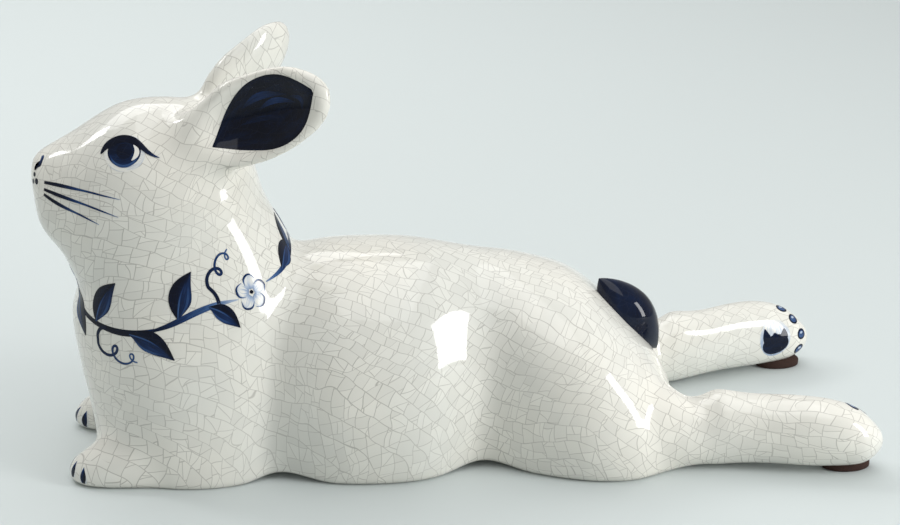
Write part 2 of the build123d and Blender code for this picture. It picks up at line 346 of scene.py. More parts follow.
def edge_pairs(mesh):
    """Vertex numbers at the two ends of every edge."""
    flat = np.empty(len(mesh.edges) * 2, dtype=np.int64)
    mesh.edges.foreach_get("vertices", flat)
    return flat.reshape(-1, 2)


def softened(points, edges, rounds, weight):
    """Each round moves a point by weight times half the way to the mean of its neighbours."""
    degree = np.bincount(edges.ravel(), minlength=len(points))[:, None]
    for _ in range(rounds):
        total = np.zeros_like(points)
        for axis in range(3):
            total[:, axis] = np.bincount(edges[:, 0], points[edges[:, 1], axis], len(points))
            total[:, axis] += np.bincount(edges[:, 1], points[edges[:, 0], axis], len(points))
        points = points + 0.5 * weight[:, None] * (total / degree - points)
    return points


def fade(distance, near, far):
    """1 below near, 0 above far, with a smooth step between."""
    t = np.clip((far - distance) / (far - near), 0.0, 1.0)
    return t * t * (3.0 - 2.0 * t)


skin = remeshed(clay, VOXEL)
points = coordinates(skin)
edges = edge_pairs(skin)
print("remeshed skin", len(points), "vertices")

# %% [markdown]
# A few rounds of softening everywhere take the steps out of the remesh. Four
# places get many more: between chest and belly, at the rump, behind the forelegs
# and at the roots of the ears. A mask that fades out marks each of them.

# %% One skin
SOFT_ROUNDS, MEETING_ROUNDS = 8, 60
CREASE_AT, CREASE_FADE = -0.083, (0.010, 0.026)  # between chest and belly, along the body
RUMP_AT, RUMP_FADE = 0.098, (0.010, 0.022)  # where the hind legs leave the haunches
RUMP_OUT = (-0.034, -0.024)  # and only this far from the middle plane
CHEST_FADE, CHEST_LEVEL = (-0.150, -0.135), (0.030, 0.045)  # along, and up to this height
EAR_ROOT = (-0.010, 0.012)  # stretch of the ear's axis that counts as its root
EAR_ROOT_FADE, EAR_RISE_FADE = (0.016, 0.026), (0.008, 0.020)  # away from it, and along it
x, y, z = points.T
crease = fade(np.abs(x - CREASE_AT), *CREASE_FADE)
rump = fade(np.abs(x - RUMP_AT), *RUMP_FADE) * fade(-np.abs(y), *RUMP_OUT)
chest = fade(x, *CHEST_FADE) * fade(z, *CHEST_LEVEL)
ear_root = np.zeros(len(points))
for pose in EAR_POSES.values():
    root, axis, across, facing = ear_axes(pose)
    height = (points - root) @ axis
    away = points - root - np.clip(height, *EAR_ROOT)[:, None] * axis
    near = np.linalg.norm(away, axis=1)
    ear_root = np.maximum(ear_root, fade(near, *EAR_ROOT_FADE) * fade(height, *EAR_RISE_FADE))
meeting = np.clip(crease + rump + chest + ear_root, 0.0, 1.0)
points = softened(points, edges, SOFT_ROUNDS, np.ones(len(points)))
points = softened(points, edges, MEETING_ROUNDS, meeting)
skin.vertices.foreach_set("co", points.ravel())
skin.update()
print("skin vertices", len(points), "faces", len(skin.polygons))

# %% [markdown]
# ## The flat base
# A casting stands on a flat base with a rounded edge, lifted a little under each
# waist. A bevel would need clean edges, which a remeshed skin lacks. The skin is
# cut at the ground, its lowest band tucks in, and two arches are pressed up.

# %% Ground cut
EDGE = 0.0030  # height of the rounded edge
TUCK = 0.0018  # how far the edge tucks in
LEAST_SIDEWAYS = 0.2  # a normal with less than this across the ground moves less
ARCHES = ((along(0.283), 0.023), (along(0.522), 0.023))  # middle and half length
ARCH_RISE = 0.003
ARCH_FADE = 0.030  # height at which nothing is lifted any more


def cut_by_plane(mesh, origin, normal, name, side=0):
    """The part of a closed skin behind the plane, closed with a flat cap.

    With a side, only the faces on that side of the middle plane are cut.
    """
    work = bmesh.new()
    work.from_mesh(mesh)
    faces = [f for f in work.faces if side == 0 or all(v.co.y * side > 0.0 for v in f.verts)]
    chosen = list(dict.fromkeys(item for f in faces for item in (f, *f.edges, *f.verts)))
    bmesh.ops.bisect_plane(work, geom=chosen, plane_co=origin, plane_no=normal, clear_outer=True)
    rim = [edge for edge in work.edges if edge.is_boundary]
    caps = bmesh.ops.edgeloop_fill(work, edges=rim)["faces"]
    for cap in caps:
        cap.material_index = 1
    bmesh.ops.recalc_face_normals(work, faces=work.faces[:])
    part = bpy.data.meshes.new(name)
    work.to_mesh(part)
    work.free()
    return part


ground_cut = cut_by_plane(skin, (0.0, 0.0, 0.0), (0.0, 0.0, -1.0), "ground_cut")
points = coordinates(ground_cut)
flat_normals = np.empty(len(points) * 3)
ground_cut.vertices.foreach_get("normal", flat_normals)
outward = flat_normals.reshape(-1, 3) * [1.0, 1.0, 0.0]
outward /= np.maximum(np.linalg.norm(outward, axis=1, keepdims=True), LEAST_SIDEWAYS)
tuck = TUCK * np.clip(1.0 - points[:, 2] / EDGE, 0.0, 1.0) ** 2
points = points - outward * tuck[:, None]
lift = np.zeros(len(points))
for middle, reach in ARCHES:
    across_arch = np.clip((points[:, 0] - middle) / reach, -1.0, 1.0)
    lift += ARCH_RISE * np.cos(across_arch * np.pi / 2.0) ** 2
points[:, 2] += lift * np.clip(1.0 - points[:, 2] / ARCH_FADE, 0.0, 1.0) ** 2
ground_cut.vertices.foreach_set("co", points.ravel())
ground_cut.update()
low_points = points[points[:, 2] < EDGE]
print("base half width", round(float(np.abs(low_points[:, 1]).max()), 4))

# %% [markdown]
# ## Parting the skin at the joints
# The pieces were cast apart, so each becomes an object of its own again. Planes
# across the neck, ears, paws and hind legs cut the skin, one more parts left from
# right, and a flat cap closes each cut. Building the pieces apart would leave
# steps, so the shading keeps the normals of the uncut skin over every joint.

# %% Cutting planes
THROAT, NAPE = (0.038, 0.414), (0.271, 0.736)  # shares of the length and of the crown
PAW_CUT, PAW_SLANT = 0.074, (26.0, 14.0)  # along the body, and how the plane leans
HIND_CUT = 0.776
throat = np.array([along(THROAT[0]), 0.0, THROAT[1] * CROWN])
nape = np.array([along(NAPE[0]), 0.0, NAPE[1] * CROWN])
neck_up = np.array([throat[2] - nape[2], 0.0, nape[0] - throat[0]])
neck_up /= np.linalg.norm(neck_up)
paw_normal = np.array([-PAW_SLANT[0], 0.0, -PAW_SLANT[1]]) / np.hypot(*PAW_SLANT)
PLANES = {
    "neck": (throat, neck_up),
    "paws": (np.array([along(PAW_CUT), 0.0, 0.0]), paw_normal),
    "hind": (np.array([along(HIND_CUT), 0.0, 0.0]), np.array([1.0, 0.0, 0.0])),
    "middle": (np.zeros(3), np.array([0.0, 1.0, 0.0])),
}
EAR_CUT = 0.30  # where the ears part from the head, along the ear
for side_name, pose in EAR_POSES.items():
    root, axis, across, facing = ear_axes(pose)
    PLANES[side_name + "_ear"] = (root + EAR_CUT * EAR_LENGTH * axis, axis)
print("planes", list(PLANES))

# %% [markdown]
# The normals travel with the vertices as an attribute, because a cut makes new
# vertices and an attribute is carried on to them.

# %% Normals and halves
def remember_normals(mesh):
    """Keeps the normals of the whole skin with its vertices, in a point attribute."""
    flat = np.empty(len(mesh.vertices) * 3)
    mesh.vertices.foreach_get("normal", flat)
    kept = mesh.attributes.new("skin_normal", "FLOAT_VECTOR", "POINT")
    kept.data.foreach_set("vector", flat)


def use_kept_normals(mesh):
    """Shades the glazed faces with the kept normals and the caps with their own."""
    count = len(mesh.vertices)
    kept = np.empty(count * 3)
    mesh.attributes["skin_normal"].data.foreach_get("vector", kept)
    kept = kept.reshape(-1, 3)
    kept /= np.maximum(np.linalg.norm(kept, axis=1, keepdims=True), TINY)
    corner = np.empty(len(mesh.loops), dtype=np.int64)
    mesh.loops.foreach_get("vertex_index", corner)
    normals = kept[corner]
    for face in mesh.polygons:
        if face.material_index == 1:
            normals[face.loop_start : face.loop_start + face.loop_total] = face.normal
    mesh.polygons.foreach_set("use_smooth", np.ones(len(mesh.polygons), dtype=bool))
    mesh.normals_split_custom_set(normals.tolist())
    mesh.attributes.remove(mesh.attributes["skin_normal"])


def half(mesh, plane, name, front, side=0):
    """The half of a mesh in front of a plane, or behind it."""
    origin, normal = plane
    return cut_by_plane(mesh, tuple(origin), tuple(-normal if front else normal), name, side)


def one_side(mesh, side, name):
    """The loose parts of a mesh on one side of the middle plane."""
    work = bmesh.new()
    work.from_mesh(mesh)
    away = [v for v in work.verts if v.co.y * side < 0.0]
    bmesh.ops.delete(work, geom=away, context="VERTS")
    part = bpy.data.meshes.new(name)
    work.to_mesh(part)
    work.free()
    return part


remember_normals(ground_cut)
print("normals kept for", len(ground_cut.vertices), "vertices")

# %% [markdown]
# Each cut gives two closed halves. The order runs from the large pieces to the
# small ones, so that every plane meets only the form it is meant for.

# %% Parting
above = half(ground_cut, PLANES["neck"], "above", True)
below = half(ground_cut, PLANES["neck"], "below", False)
paws = half(below, PLANES["paws"], "paws", True)
below = half(below, PLANES["paws"], "below_2", False)
hind = half(below, PLANES["hind"], "hind", True)
torso = half(below, PLANES["hind"], "torso_skin", False)
left_ear = one_side(half(above, PLANES["left_ear"], "left_ear_half", True), -1.0, "left_ear_skin")
right_ear = one_side(half(above, PLANES["right_ear"], "right_ear_half", True), 1.0, "right_ear_skin")
above = half(above, PLANES["left_ear"], "above_2", False, -1)
head = half(above, PLANES["right_ear"], "head_skin", False, 1)
ceramic_meshes = {
    "torso": torso,
    "head": head,
    "left_ear": left_ear,
    "right_ear": right_ear,
    "left_foreleg": half(paws, PLANES["middle"], "left_foreleg_skin", False),
    "right_foreleg": half(paws, PLANES["middle"], "right_foreleg_skin", True),
    "left_hind_leg": one_side(hind, -1.0, "left_hind_leg_skin"),
    "right_hind_leg": one_side(hind, 1.0, "right_hind_leg_skin"),
}
for node, mesh in ceramic_meshes.items():
    use_kept_normals(mesh)
    low, high = coordinates(mesh).min(0), coordinates(mesh).max(0)
    print(node, len(mesh.polygons), "faces", np.round(low, 3), np.round(high, 3))

# %% [markdown]
# ## Tail and foot pads
# The tail is a spindle pressed onto the rump: a circle whose radius swells and
# closes along the slope. The pads are ovals of felt, drawn in at the top where
# they meet the toes. Both could be squeezed from a sphere, but a profile says
# plainly how full they are.

# %% Tail and pads
TAIL_LENGTH, TAIL_WIDTH = 0.048, 0.025
TAIL_ALONG, TAIL_UP = 0.717, 0.58  # shares of the length and of the back
TAIL_RUN, TAIL_DROP = 0.62, 0.79  # the slope of the rump
TAIL_SWELL, TAIL_CLOSE = 1.9, 0.9  # powers that shape the spindle
PAD_ALONG, PAD_OUT = 0.957, 0.890  # shares of the length and of the half width
PAD_HALF_LENGTH, PAD_HALF_WIDTH = 0.0115, 0.0068
PAD_PROFILE = np.array([  # share of the half sizes, and height in mm
    (0.02, 0.0), (0.50, 0.0), (0.90, 0.0), (0.96, 0.3), (0.99, 0.7), (1.00, 1.2),
    (1.00, 3.0), (0.97, 3.8), (0.86, 4.8), (0.68, 5.7), (0.40, 6.2), (0.02, 6.4),
])


def spindle_rings(count=90):
    """Circles along the slope, of radius r (1 - |t|^swell)^close from tip to tip."""
    slope = np.array([TAIL_RUN, 0.0, -TAIL_DROP])
    slope /= np.linalg.norm(slope)
    lifted = np.array([TAIL_DROP, 0.0, TAIL_RUN])
    t = np.sin(np.linspace(-np.pi / 2.0, np.pi / 2.0, count))
    radius = TAIL_WIDTH / 2.0 * np.maximum(1.0 - np.abs(t) ** TAIL_SWELL, 0.0) ** TAIL_CLOSE
    start = np.array([along(TAIL_ALONG), 0.0, TAIL_UP * BACK])
    middle = start + (t * TAIL_LENGTH / 2.0)[:, None] * slope
    sideways = np.array([0.0, 1.0, 0.0])
    around = np.cos(turn)[:, None] * sideways + np.sin(turn)[:, None] * lifted
    return middle[:, None] + radius[:, None, None] * around


def pad_rings(side):
    """A felt pad: an ellipse carried up a rounded rim, and drawn in under the toes."""
    middle = np.array([along(PAD_ALONG), side * PAD_OUT * HALF_WIDTH, 0.0])
    share, level = PAD_PROFILE[:, 0, None, None], PAD_PROFILE[:, 1, None, None] / 1000.0
    oval = [PAD_HALF_LENGTH * np.cos(turn), PAD_HALF_WIDTH * np.sin(turn), np.zeros(ROUND)]
    return middle + share * np.stack(oval, 1) + level * [0.0, 0.0, 1.0]


def outward_mesh(name, rings):
    """A closed smooth mesh of one tube, its faces turned outward."""
    mesh = joined_mesh(name, [closed_tube(rings)])
    work = bmesh.new()
    work.from_mesh(mesh)
    bmesh.ops.recalc_face_normals(work, faces=work.faces[:])
    work.to_mesh(mesh)
    work.free()
    mesh.polygons.foreach_set("use_smooth", np.ones(len(mesh.polygons), dtype=bool))
    return mesh


tail_mesh = outward_mesh("tail_skin", spindle_rings())
pad_meshes = {
    "left_foot_pad": outward_mesh("left_pad_felt", pad_rings(-1)),
    "right_foot_pad": outward_mesh("right_pad_felt", pad_rings(1)),
}
print("tail faces", len(tail_mesh.polygons))

# %% [markdown]
# ## Strokes of a brush
# The decorator paints cobalt on the raw glaze with a pointed brush, and the fire
# melts the paint in. A stroke has a centre line, a width that swells and tapers,
# and a tone that goes from nearly black where the brush was full to a pale wash
# where it ran dry. A painted picture would blur close up, so each stroke is a
# ribbon swept along its line, held in front of the figure and pressed on later.

# %% Ribbons
MM = 0.001
HOLD_OFF = 15.0 * MM  # how far in front of the skin a stroke is drawn
LEAST_WIDTH = 0.12 * MM
EDGE_STEEPNESS = 4.0  # how quickly a leaning tone changes across the stroke
DAB_STEPS = 28
UP = (0.0, 0.0, 1.0)
strokes = []


def unit(vector):
    """A vector of length one, or an array of them."""
    vector = np.asarray(vector, float)
    return vector / np.linalg.norm(vector, axis=-1, keepdims=True)


def seen_from(direction):
    """Outward, right and up on the skin, for someone who looks at it from a direction."""
    outward = unit(direction)
    right = unit(np.cross(UP, outward))
    return outward, right, np.cross(outward, right)


def keep_stroke(group, layer, grid, tone, mirrored):
    """Stores a ribbon's points, its tones and its own (along, across, seed) coordinates."""
    steps, across = tone.shape
    run = np.linalg.norm(np.diff(grid.mean(1), axis=0), axis=1)
    along_line = np.concatenate([[0.0], np.cumsum(run)])
    own = np.zeros((steps, across, 3))
    own[..., 0] = along_line[:, None]
    own[..., 1] = np.linspace(-1.0, 1.0, across)
    own[..., 2] = len(strokes)
    strokes.append((group, layer, grid, tone, own))
    if mirrored:
        flipped = (grid * [1.0, -1.0, 1.0])[:, ::-1]
        strokes.append((group, layer, flipped, tone[:, ::-1], own[:, ::-1]))


def swept(group, layer, line, facing, width, tone, lean=0.0, across=7, mirrored=True):
    """A ribbon: line + a * width / 2 * side, with a from -1 to 1 and side = facing x run.

    The tone follows the line, and lean makes one edge darker than the other.
    """
    run = unit(np.gradient(line, axis=0))
    outward = unit(np.broadcast_to(facing, line.shape))
    side = unit(np.cross(outward, run))
    reach = np.linspace(-1.0, 1.0, across)
    half_width = np.maximum(width, LEAST_WIDTH) / 2.0
    grid = line[:, None] + (reach * half_width[:, None])[..., None] * side[:, None]
    shade = tone[:, None] + lean * np.tanh(EDGE_STEEPNESS * reach)
    keep_stroke(group, layer, grid + HOLD_OFF * outward[:, None], shade, mirrored)


def stroke(group, layer, points, facing, widths, tones, count=44, **more):
    """A stroke through a few given points, its widths (mm) and tones spread along it."""
    line = smooth_rows(points, count)
    if np.ndim(facing) == 2:
        facing = smooth_rows(facing, count)
    width = smooth_rows(np.array(widths)[:, None], count)[:, 0] * MM
    tone = smooth_rows(np.array(tones)[:, None], count)[:, 0]
    swept(group, layer, line, facing, width, tone, **more)


def dab(group, layer, middle, direction, facing, half_long, half_wide, tones, **more):
    """An oval dab of the brush: the width is that of an ellipse along the direction."""
    t = np.sin(np.linspace(-np.pi / 2.0, np.pi / 2.0, DAB_STEPS))
    line = np.asarray(middle) + t[:, None] * half_long * unit(direction)
    width = 2.0 * half_wide * np.sqrt(np.maximum(1.0 - t**2, 0.0))
    tone = np.interp(t, [-1.0, 1.0], tones)
    swept(group, layer, line, facing, width, tone, **more)


print("brush ready, least width", LEAST_WIDTH)

# %% [markdown]
# ## The face
# The eye is a dark round with a darker pupil, a heavy upper lid that runs out in a point and a pale wash
# below, and a white crescent on the iris is a painted highlight. A flat drawing beside the eye is easy to
# plan, so its points are given as seen from the side.
# Each stroke is drawn on the left and mirrored to the right.

# %% Eye strokes
face_out, face_right, face_up = seen_from([-0.114, -0.930, 0.350])
EYE = np.array([-151.5, -27.9, 158.0]) * MM
EYE_WASH = ((0.2, -0.7), 9.2, 8.4, (0.97, 0.92))  # middle, half sizes in mm, and tones
IRIS = ((0.0, 0.0), 7.5, 6.9, (0.12, 0.22))
PUPIL = ((0.2, 0.2), 3.6, 3.5, (0.03, 0.08))
IRIS_RIM = (6.5, 195.0, 345.0)  # radius in mm, first and last angle
RIM_WIDTHS, RIM_TONES = [0.3, 0.9, 1.2, 1.3, 1.2, 1.0, 0.3], [0.3] + [0.48] * 5 + [0.3]
# painted highlight: a white crescent on the iris that stands for the light on the eye
PAINTED_EYE_HIGHLIGHT = [(4.1, 3.0), (5.7, 0.6), (5.2, -2.0), (3.5, -3.9)]
PAINTED_EYE_HIGHLIGHT_WIDTHS, PAINTED_EYE_HIGHLIGHT_TONES = [0.3, 2.0, 1.9, 0.3], [0.92, 1.0, 1.0, 0.9]
EYE_LID = [
    (-10.6, -0.8), (-8.2, 2.5), (-4.4, 5.0), (0.2, 5.9),
    (4.6, 4.7), (8.2, 1.9), (11.8, -1.0), (15.8, -2.7),
]
LID_WIDTHS = [0.6, 2.6, 3.3, 3.3, 2.9, 2.3, 1.5, 0.2]
LID_TONES = [0.05, 0.0, 0.0, 0.0, 0.0, 0.06, 0.2, 0.5]


def beside_eye(pairs):
    """Points given in mm to the right of and above the eye, as seen from its side."""
    pairs = np.array(pairs) * MM
    return EYE + pairs[:, :1] * face_right + pairs[:, 1:] * face_up


def eye_arc(radius, first, last):
    """Points on a circle around the eye between two angles in degrees."""
    angle = np.radians(np.linspace(first, last, len(RIM_WIDTHS)))
    return np.stack([radius * np.cos(angle), radius * np.sin(angle)], 1)


def eye_dab(layer, shape, **more):
    """A dab of the eye, from its middle, its half sizes and its two tones."""
    middle, half_long, half_wide, tones = shape
    place = beside_eye([middle])[0]
    dab("head", layer, place, face_right, face_out, half_long * MM, half_wide * MM, tones, **more)


def eye_stroke(layer, pairs, widths, tones):
    """A stroke of the eye, through points beside its middle."""
    stroke("head", layer, beside_eye(pairs), face_out, widths, tones)


eye_dab(0, EYE_WASH)
eye_dab(1, IRIS, lean=-0.05, across=15)
eye_stroke(2, eye_arc(*IRIS_RIM), RIM_WIDTHS, RIM_TONES)
eye_dab(2, PUPIL, across=11)
# the painted highlight in the eye
eye_stroke(3, PAINTED_EYE_HIGHLIGHT, PAINTED_EYE_HIGHLIGHT_WIDTHS, PAINTED_EYE_HIGHLIGHT_TONES)
eye_stroke(4, EYE_LID, LID_WIDTHS, LID_TONES)
print("eye strokes", len(strokes))

# %% [markdown]
# Whiskers, dots and nose are single strokes with the tip of the brush. The muzzle
# turns away quickly, so their points are given in space, close to the skin.

# %% Muzzle strokes
muzzle_out = unit([-0.45, -0.88, 0.10])
nose_out = unit([-0.90, -0.30, 0.32])
WHISKERS = np.array([  # in mm, one row of points for each
    [(-191.0, -13.0, 141.0), (-182.0, -20.8, 141.4), (-171.9, -27.7, 140.9),
     (-163.0, -31.8, 139.7), (-153.0, -36.0, 138.0)],
    [(-191.4, -13.4, 138.6), (-182.2, -22.0, 137.2), (-172.2, -28.9, 135.2),
     (-163.5, -33.0, 132.9), (-154.0, -37.0, 129.8)],
    [(-191.0, -14.4, 137.0), (-184.0, -21.0, 134.0), (-176.9, -26.8, 131.3),
     (-170.5, -30.5, 129.0), (-163.5, -34.0, 126.0)],
])
WHISKER_WIDTHS, WHISKER_TONES = [1.2, 1.6, 1.0, 0.8, 0.15], [0.03, 0.14, 0.46, 0.32, 0.70]
DOTS = [  # middle and half width in mm
    ((-192.9, -9.6, 141.6), 0.8),
    ((-192.2, -12.4, 139.0), 1.1),
    ((-193.4, -8.6, 138.2), 0.9),
]
DOT_STRETCH, DOT_TONES = 1.2, (0.05, 0.05)
NOSE = np.array([
    (-188.6, -0.8, 152.6), (-189.4, -4.4, 151.4), (-190.6, -7.6, 149.0),
    (-191.6, -8.4, 146.4), (-192.4, -6.4, 144.2),
])
NOSE_WIDTHS, NOSE_TONES = [0.9, 2.3, 2.9, 2.3, 0.3], [0.5, 0.25, 0.12, 0.06, 0.3]
for whisker in WHISKERS:
    stroke("head", 1, whisker * MM, muzzle_out, WHISKER_WIDTHS, WHISKER_TONES)
for dot, size in DOTS:
    place = np.array(dot) * MM
    dab("head", 1, place, UP, muzzle_out, DOT_STRETCH * size * MM, size * MM, DOT_TONES)
stroke("head", 1, NOSE * MM, nose_out, NOSE_WIDTHS, NOSE_TONES)
print("face strokes", len(strokes))

# %% [markdown]
# ## The vine around the neck
# A leafy vine is an old border pattern on blue and white ware. Drawing it on the
# curved neck itself is hard to plan, so it is drawn on a flat sheet, and the sheet
# is rolled around the neck: s runs from the middle of the chest around to the
# nape, h is the height, both in mm.

# %% The rolled sheet
NECK_AXIS = -126.0  # where the rolled sheet's axis stands, along the body
NECK_ROUND = 52.0  # radius that turns s into an angle
SHEET_ROUND = 51.0  # radius of the sheet, before it is held off


def around_neck(pairs):
    """Points and outward directions on the sheet rolled around the neck."""
    pairs = np.asarray(pairs, float)
    angle = pairs[:, 0] / NECK_ROUND
    outward = np.stack([-np.cos(angle), -np.sin(angle), np.zeros(len(angle))], 1)
    level = np.stack([np.full(len(angle), NECK_AXIS), np.zeros(len(angle)), pairs[:, 1]], 1)
    return (level + SHEET_ROUND * outward) * MM, outward


def vine_stroke(layer, pairs, widths, tones, **more):
    """A stroke drawn on the rolled sheet, on both sides of the neck."""
    line, outward = around_neck(pairs)
    stroke("neck", layer, line, outward, widths, tones, **more)


def turned(base, angle, pairs):
    """Points (ahead, aside) turned by an angle in degrees and moved to a base point."""
    a = np.radians(angle)
    pairs = np.asarray(pairs, float)
    ahead, aside = pairs[:, 0], pairs[:, 1]
    right = ahead * np.cos(a) - aside * np.sin(a)
    above_base = ahead * np.sin(a) + aside * np.cos(a)
    return np.asarray(base, float) + np.stack([right, above_base], 1)


print("one turn of the sheet", round(2.0 * np.pi * NECK_ROUND, 1), "mm")

# %% [markdown]
# A leaf is one broad two-toned stroke with a vein and a gleam. A tendril could be
# a spiral, but a cycloid makes the small round loops that a brush makes. A petal
# is a short dab with an edge drawn around it.

# %% Leaf, tendril and blossom
LEAF_SPINE = np.array([(0.0, 0.0), (0.25, 0.05), (0.5, 0.06), (0.75, 0.02), (1.0, -0.06)])
LEAF_SWELL, LEAF_TONES = np.array([0.05, 0.80, 1.0, 0.66, 0.03]), [0.16, 0.14, 0.16, 0.15, 0.05]
VEIN_WIDTHS, VEIN_TONES = [0.3, 0.7, 0.6, 0.1], [0.52, 0.50, 0.42, 0.3]
GLEAM = np.array([(0.12, -0.05), (0.35, -0.12), (0.6, -0.10), (0.8, -0.04)])
GLEAM_WIDTHS, GLEAM_TONES = [0.2, 1.1, 1.0, 0.2], [0.42, 0.46, 0.42, 0.3]
CURL_START, CURL_END, CURL_STEPS = 1.2, 4.0 * np.pi + 2.8, 27  # turn of the cycloid, in radians
CURL_PITCH, CURL_LEAST, CURL_SHRINK = 0.45, 0.45, 2.4  # pitch p, last radius, turn that shrinks
CURL_WIDTHS, CURL_TONES = (1.7, 0.6), (0.10, 0.60)  # from the foot to the end
PETALS = 5
PETAL = np.array([(0.25, 0.0), (0.6, 0.0), (0.95, 0.0), (1.2, 0.0)])
PETAL_SWELL, PETAL_TONES = np.array([0.3, 1.0, 0.95, 0.2]), [0.72, 0.90, 0.93, 0.86]
PETAL_EDGE = np.array([(0.5, 0.44), (0.95, 0.48), (1.24, 0.18), (1.24, -0.18), (0.95, -0.48)])
EDGE_WIDTHS, EDGE_TONES = [0.2, 0.8, 0.9, 0.6, 0.2], [0.7, 0.45, 0.3, 0.45, 0.7]
HEART = [(-0.9, 0.0), (0.0, 0.2), (0.9, 0.0)]  # the dark middle of a blossom, in mm
HEART_WIDTHS, HEART_TONES = [0.3, 1.8, 0.3], [0.1, 0.02, 0.1]


def leaf(base, angle, length, width):
    """A pointed leaf in two tones with a pale vein, bent a little towards its tip."""
    spine = turned(base, angle, LEAF_SPINE * length)
    vine_stroke(2, spine, LEAF_SWELL * width, LEAF_TONES, lean=-0.13, across=11)
    vine_stroke(3, spine[: len(VEIN_WIDTHS)], VEIN_WIDTHS, VEIN_TONES)
    vine_stroke(3, turned(base, angle, GLEAM * length), GLEAM_WIDTHS, GLEAM_TONES)


def tendril(stem, base, angle, size, flip):
    """From the stem into a looped cycloid, ahead = p t - r sin t and aside = r (1 - cos t).

    The radius r shrinks in the last loop, and t starts where the curve runs straight aside.
    """
    t = np.linspace(CURL_START, CURL_END, CURL_STEPS)
    left_to_go = np.clip((CURL_END - t) / CURL_SHRINK, 0.0, 1.0)
    radius = size * (CURL_LEAST + (1.0 - CURL_LEAST) * left_to_go)
    ahead = CURL_PITCH * size * t - radius * np.sin(t)
    curl = np.stack([ahead, flip * radius * (1.0 - np.cos(t))], 1)
    line = np.concatenate([np.asarray(stem, float), turned(base, angle, curl)])
    widths = np.linspace(*CURL_WIDTHS, len(line))
    vine_stroke(1, line, widths, np.linspace(*CURL_TONES, len(line)), count=160, across=5)


def blossom(middle, size, **more):
    """Pale petals, each with a blue edge, around a dark heart."""
    for petal in range(PETALS):
        angle = 90.0 + 360.0 / PETALS * petal
        line = turned(middle, angle, PETAL * size)
        vine_stroke(1, line, PETAL_SWELL * size, PETAL_TONES, **more)
        edge = turned(middle, angle, PETAL_EDGE * size)
        vine_stroke(2, edge, EDGE_WIDTHS, EDGE_TONES, **more)
    vine_stroke(3, turned(middle, 0.0, HEART), HEART_WIDTHS, HEART_TONES, **more)


print("a petal has", len(PETAL), "points and its edge", len(PETAL_EDGE))

# %% [markdown]
# The layout: three stretches of stem, seven leaves, two tendrils and two kinds of
# blossom, one at each side and one in front. The front one is drawn only once,
# because it lies on the middle plane.

# %% Vine strokes
STEMS = [  # layer, points (s, h), widths in mm and tones
    (0, [(2, 92), (10, 88), (22, 82), (36, 77.5), (52, 76.5), (66, 79.5)],
     [1.4, 2.6, 2.3, 2.5, 3.0, 0.8], [0.1, 0.04, 0.03, 0.02, 0.08, 0.4]),
    (1, [(60, 77.5), (72, 81.5), (84, 86.5), (96, 90), (106, 91)],
     [0.6, 2.4, 2.8, 2.2, 0.4], [0.1, 0.25, 0.45, 0.62, 0.85]),
    (1, [(124, 96), (134, 98), (144, 101), (154, 104), (164, 106)],
     [0.5, 2.0, 2.4, 2.2, 1.6], [0.7, 0.45, 0.2, 0.2, 0.3]),
]
LEAVES = [  # foot (s, h), angle in degrees, length and width in mm
    ((33, 79), 66, 22, 10.5),
    ((13, 87), -52, 21, 8.5),
    ((52, 76), -22, 24, 9.5),
    ((76, 84), 74, 22, 10.5),
    ((92, 89), -34, 17, 7.5),
    ((136, 98.5), 28, 19, 9.0),
    ((150, 102.5), 62, 18, 7.0),
]
TENDRILS = [  # points from the stem, base of the loops, angle, radius, and side they curl to
    ([(39, 77.3), (36.2, 76.4), (34.6, 74.6), (33.9, 72.6)], (35.8, 72.0), -16, 3.2, -1.0),
    ([(97, 90.0), (96.4, 92.6), (95.0, 95.2)], (95, 97), 50, 2.8, 1.0),
]
SIDE_BLOSSOM, FRONT_BLOSSOM = ((114, 93), 6.2), ((0, 93), 5.6)  # middle and size
for stem in STEMS:
    vine_stroke(*stem)
for foot_and_size in LEAVES:
    leaf(*foot_and_size)
for course in TENDRILS:
    tendril(*course)
blossom(*SIDE_BLOSSOM)
blossom(*FRONT_BLOSSOM, mirrored=False)
print("strokes with the vine", len(strokes))

# %% [markdown]
# ## Ears, claws and soles
# The hollow of each ear is filled with dark cobalt, and a few long strokes in a
# lighter blue lie on it. One broad ribbon with many points across follows the
# bowl better than a row of narrow ones.

# %% Ear strokes
EAR_PAINT_ENDS = (0.075, 0.885)  # where the painted almond starts and ends, along the ear
EAR_PAINT_ASIDES = [-4.0, -2.4, -1.0, -0.2, 0.3, 0.6, 0.8]  # mm towards the upper edge
EAR_PAINT_WIDTHS = [0.3, 15.5, 26.0, 31.5, 31.0, 22.5, 2.0]
EAR_PAINT_TONE = 0.03
EAR_STROKES = [  # start, middle and end (along the ear, mm aside), width in mm and tone
    ((0.34, 6.5), (0.50, 8.5), (0.68, 4.5), 3.4, 0.30),
    ((0.44, 3.0), (0.58, 4.0), (0.72, -0.5), 2.8, 0.36),
    ((0.28, 0.0), (0.44, -1.0), (0.60, -4.5), 2.4, 0.16),
    ((0.70, 3.0), (0.77, 0.0), (0.75, -4.5), 2.2, 0.24),
]


def in_ear(side_name, pairs):
    """Points in a hollow: shares of the ear's length, and mm towards its upper edge."""
    root, axis, across, _ = ear_axes(EAR_POSES[side_name])
    flip = 1.0 if side_name == "left" else -1.0
    pairs = np.asarray(pairs, float)
    aside = flip * pairs[:, 1:] * MM
    return root + pairs[:, :1] * EAR_LENGTH * axis + aside * across


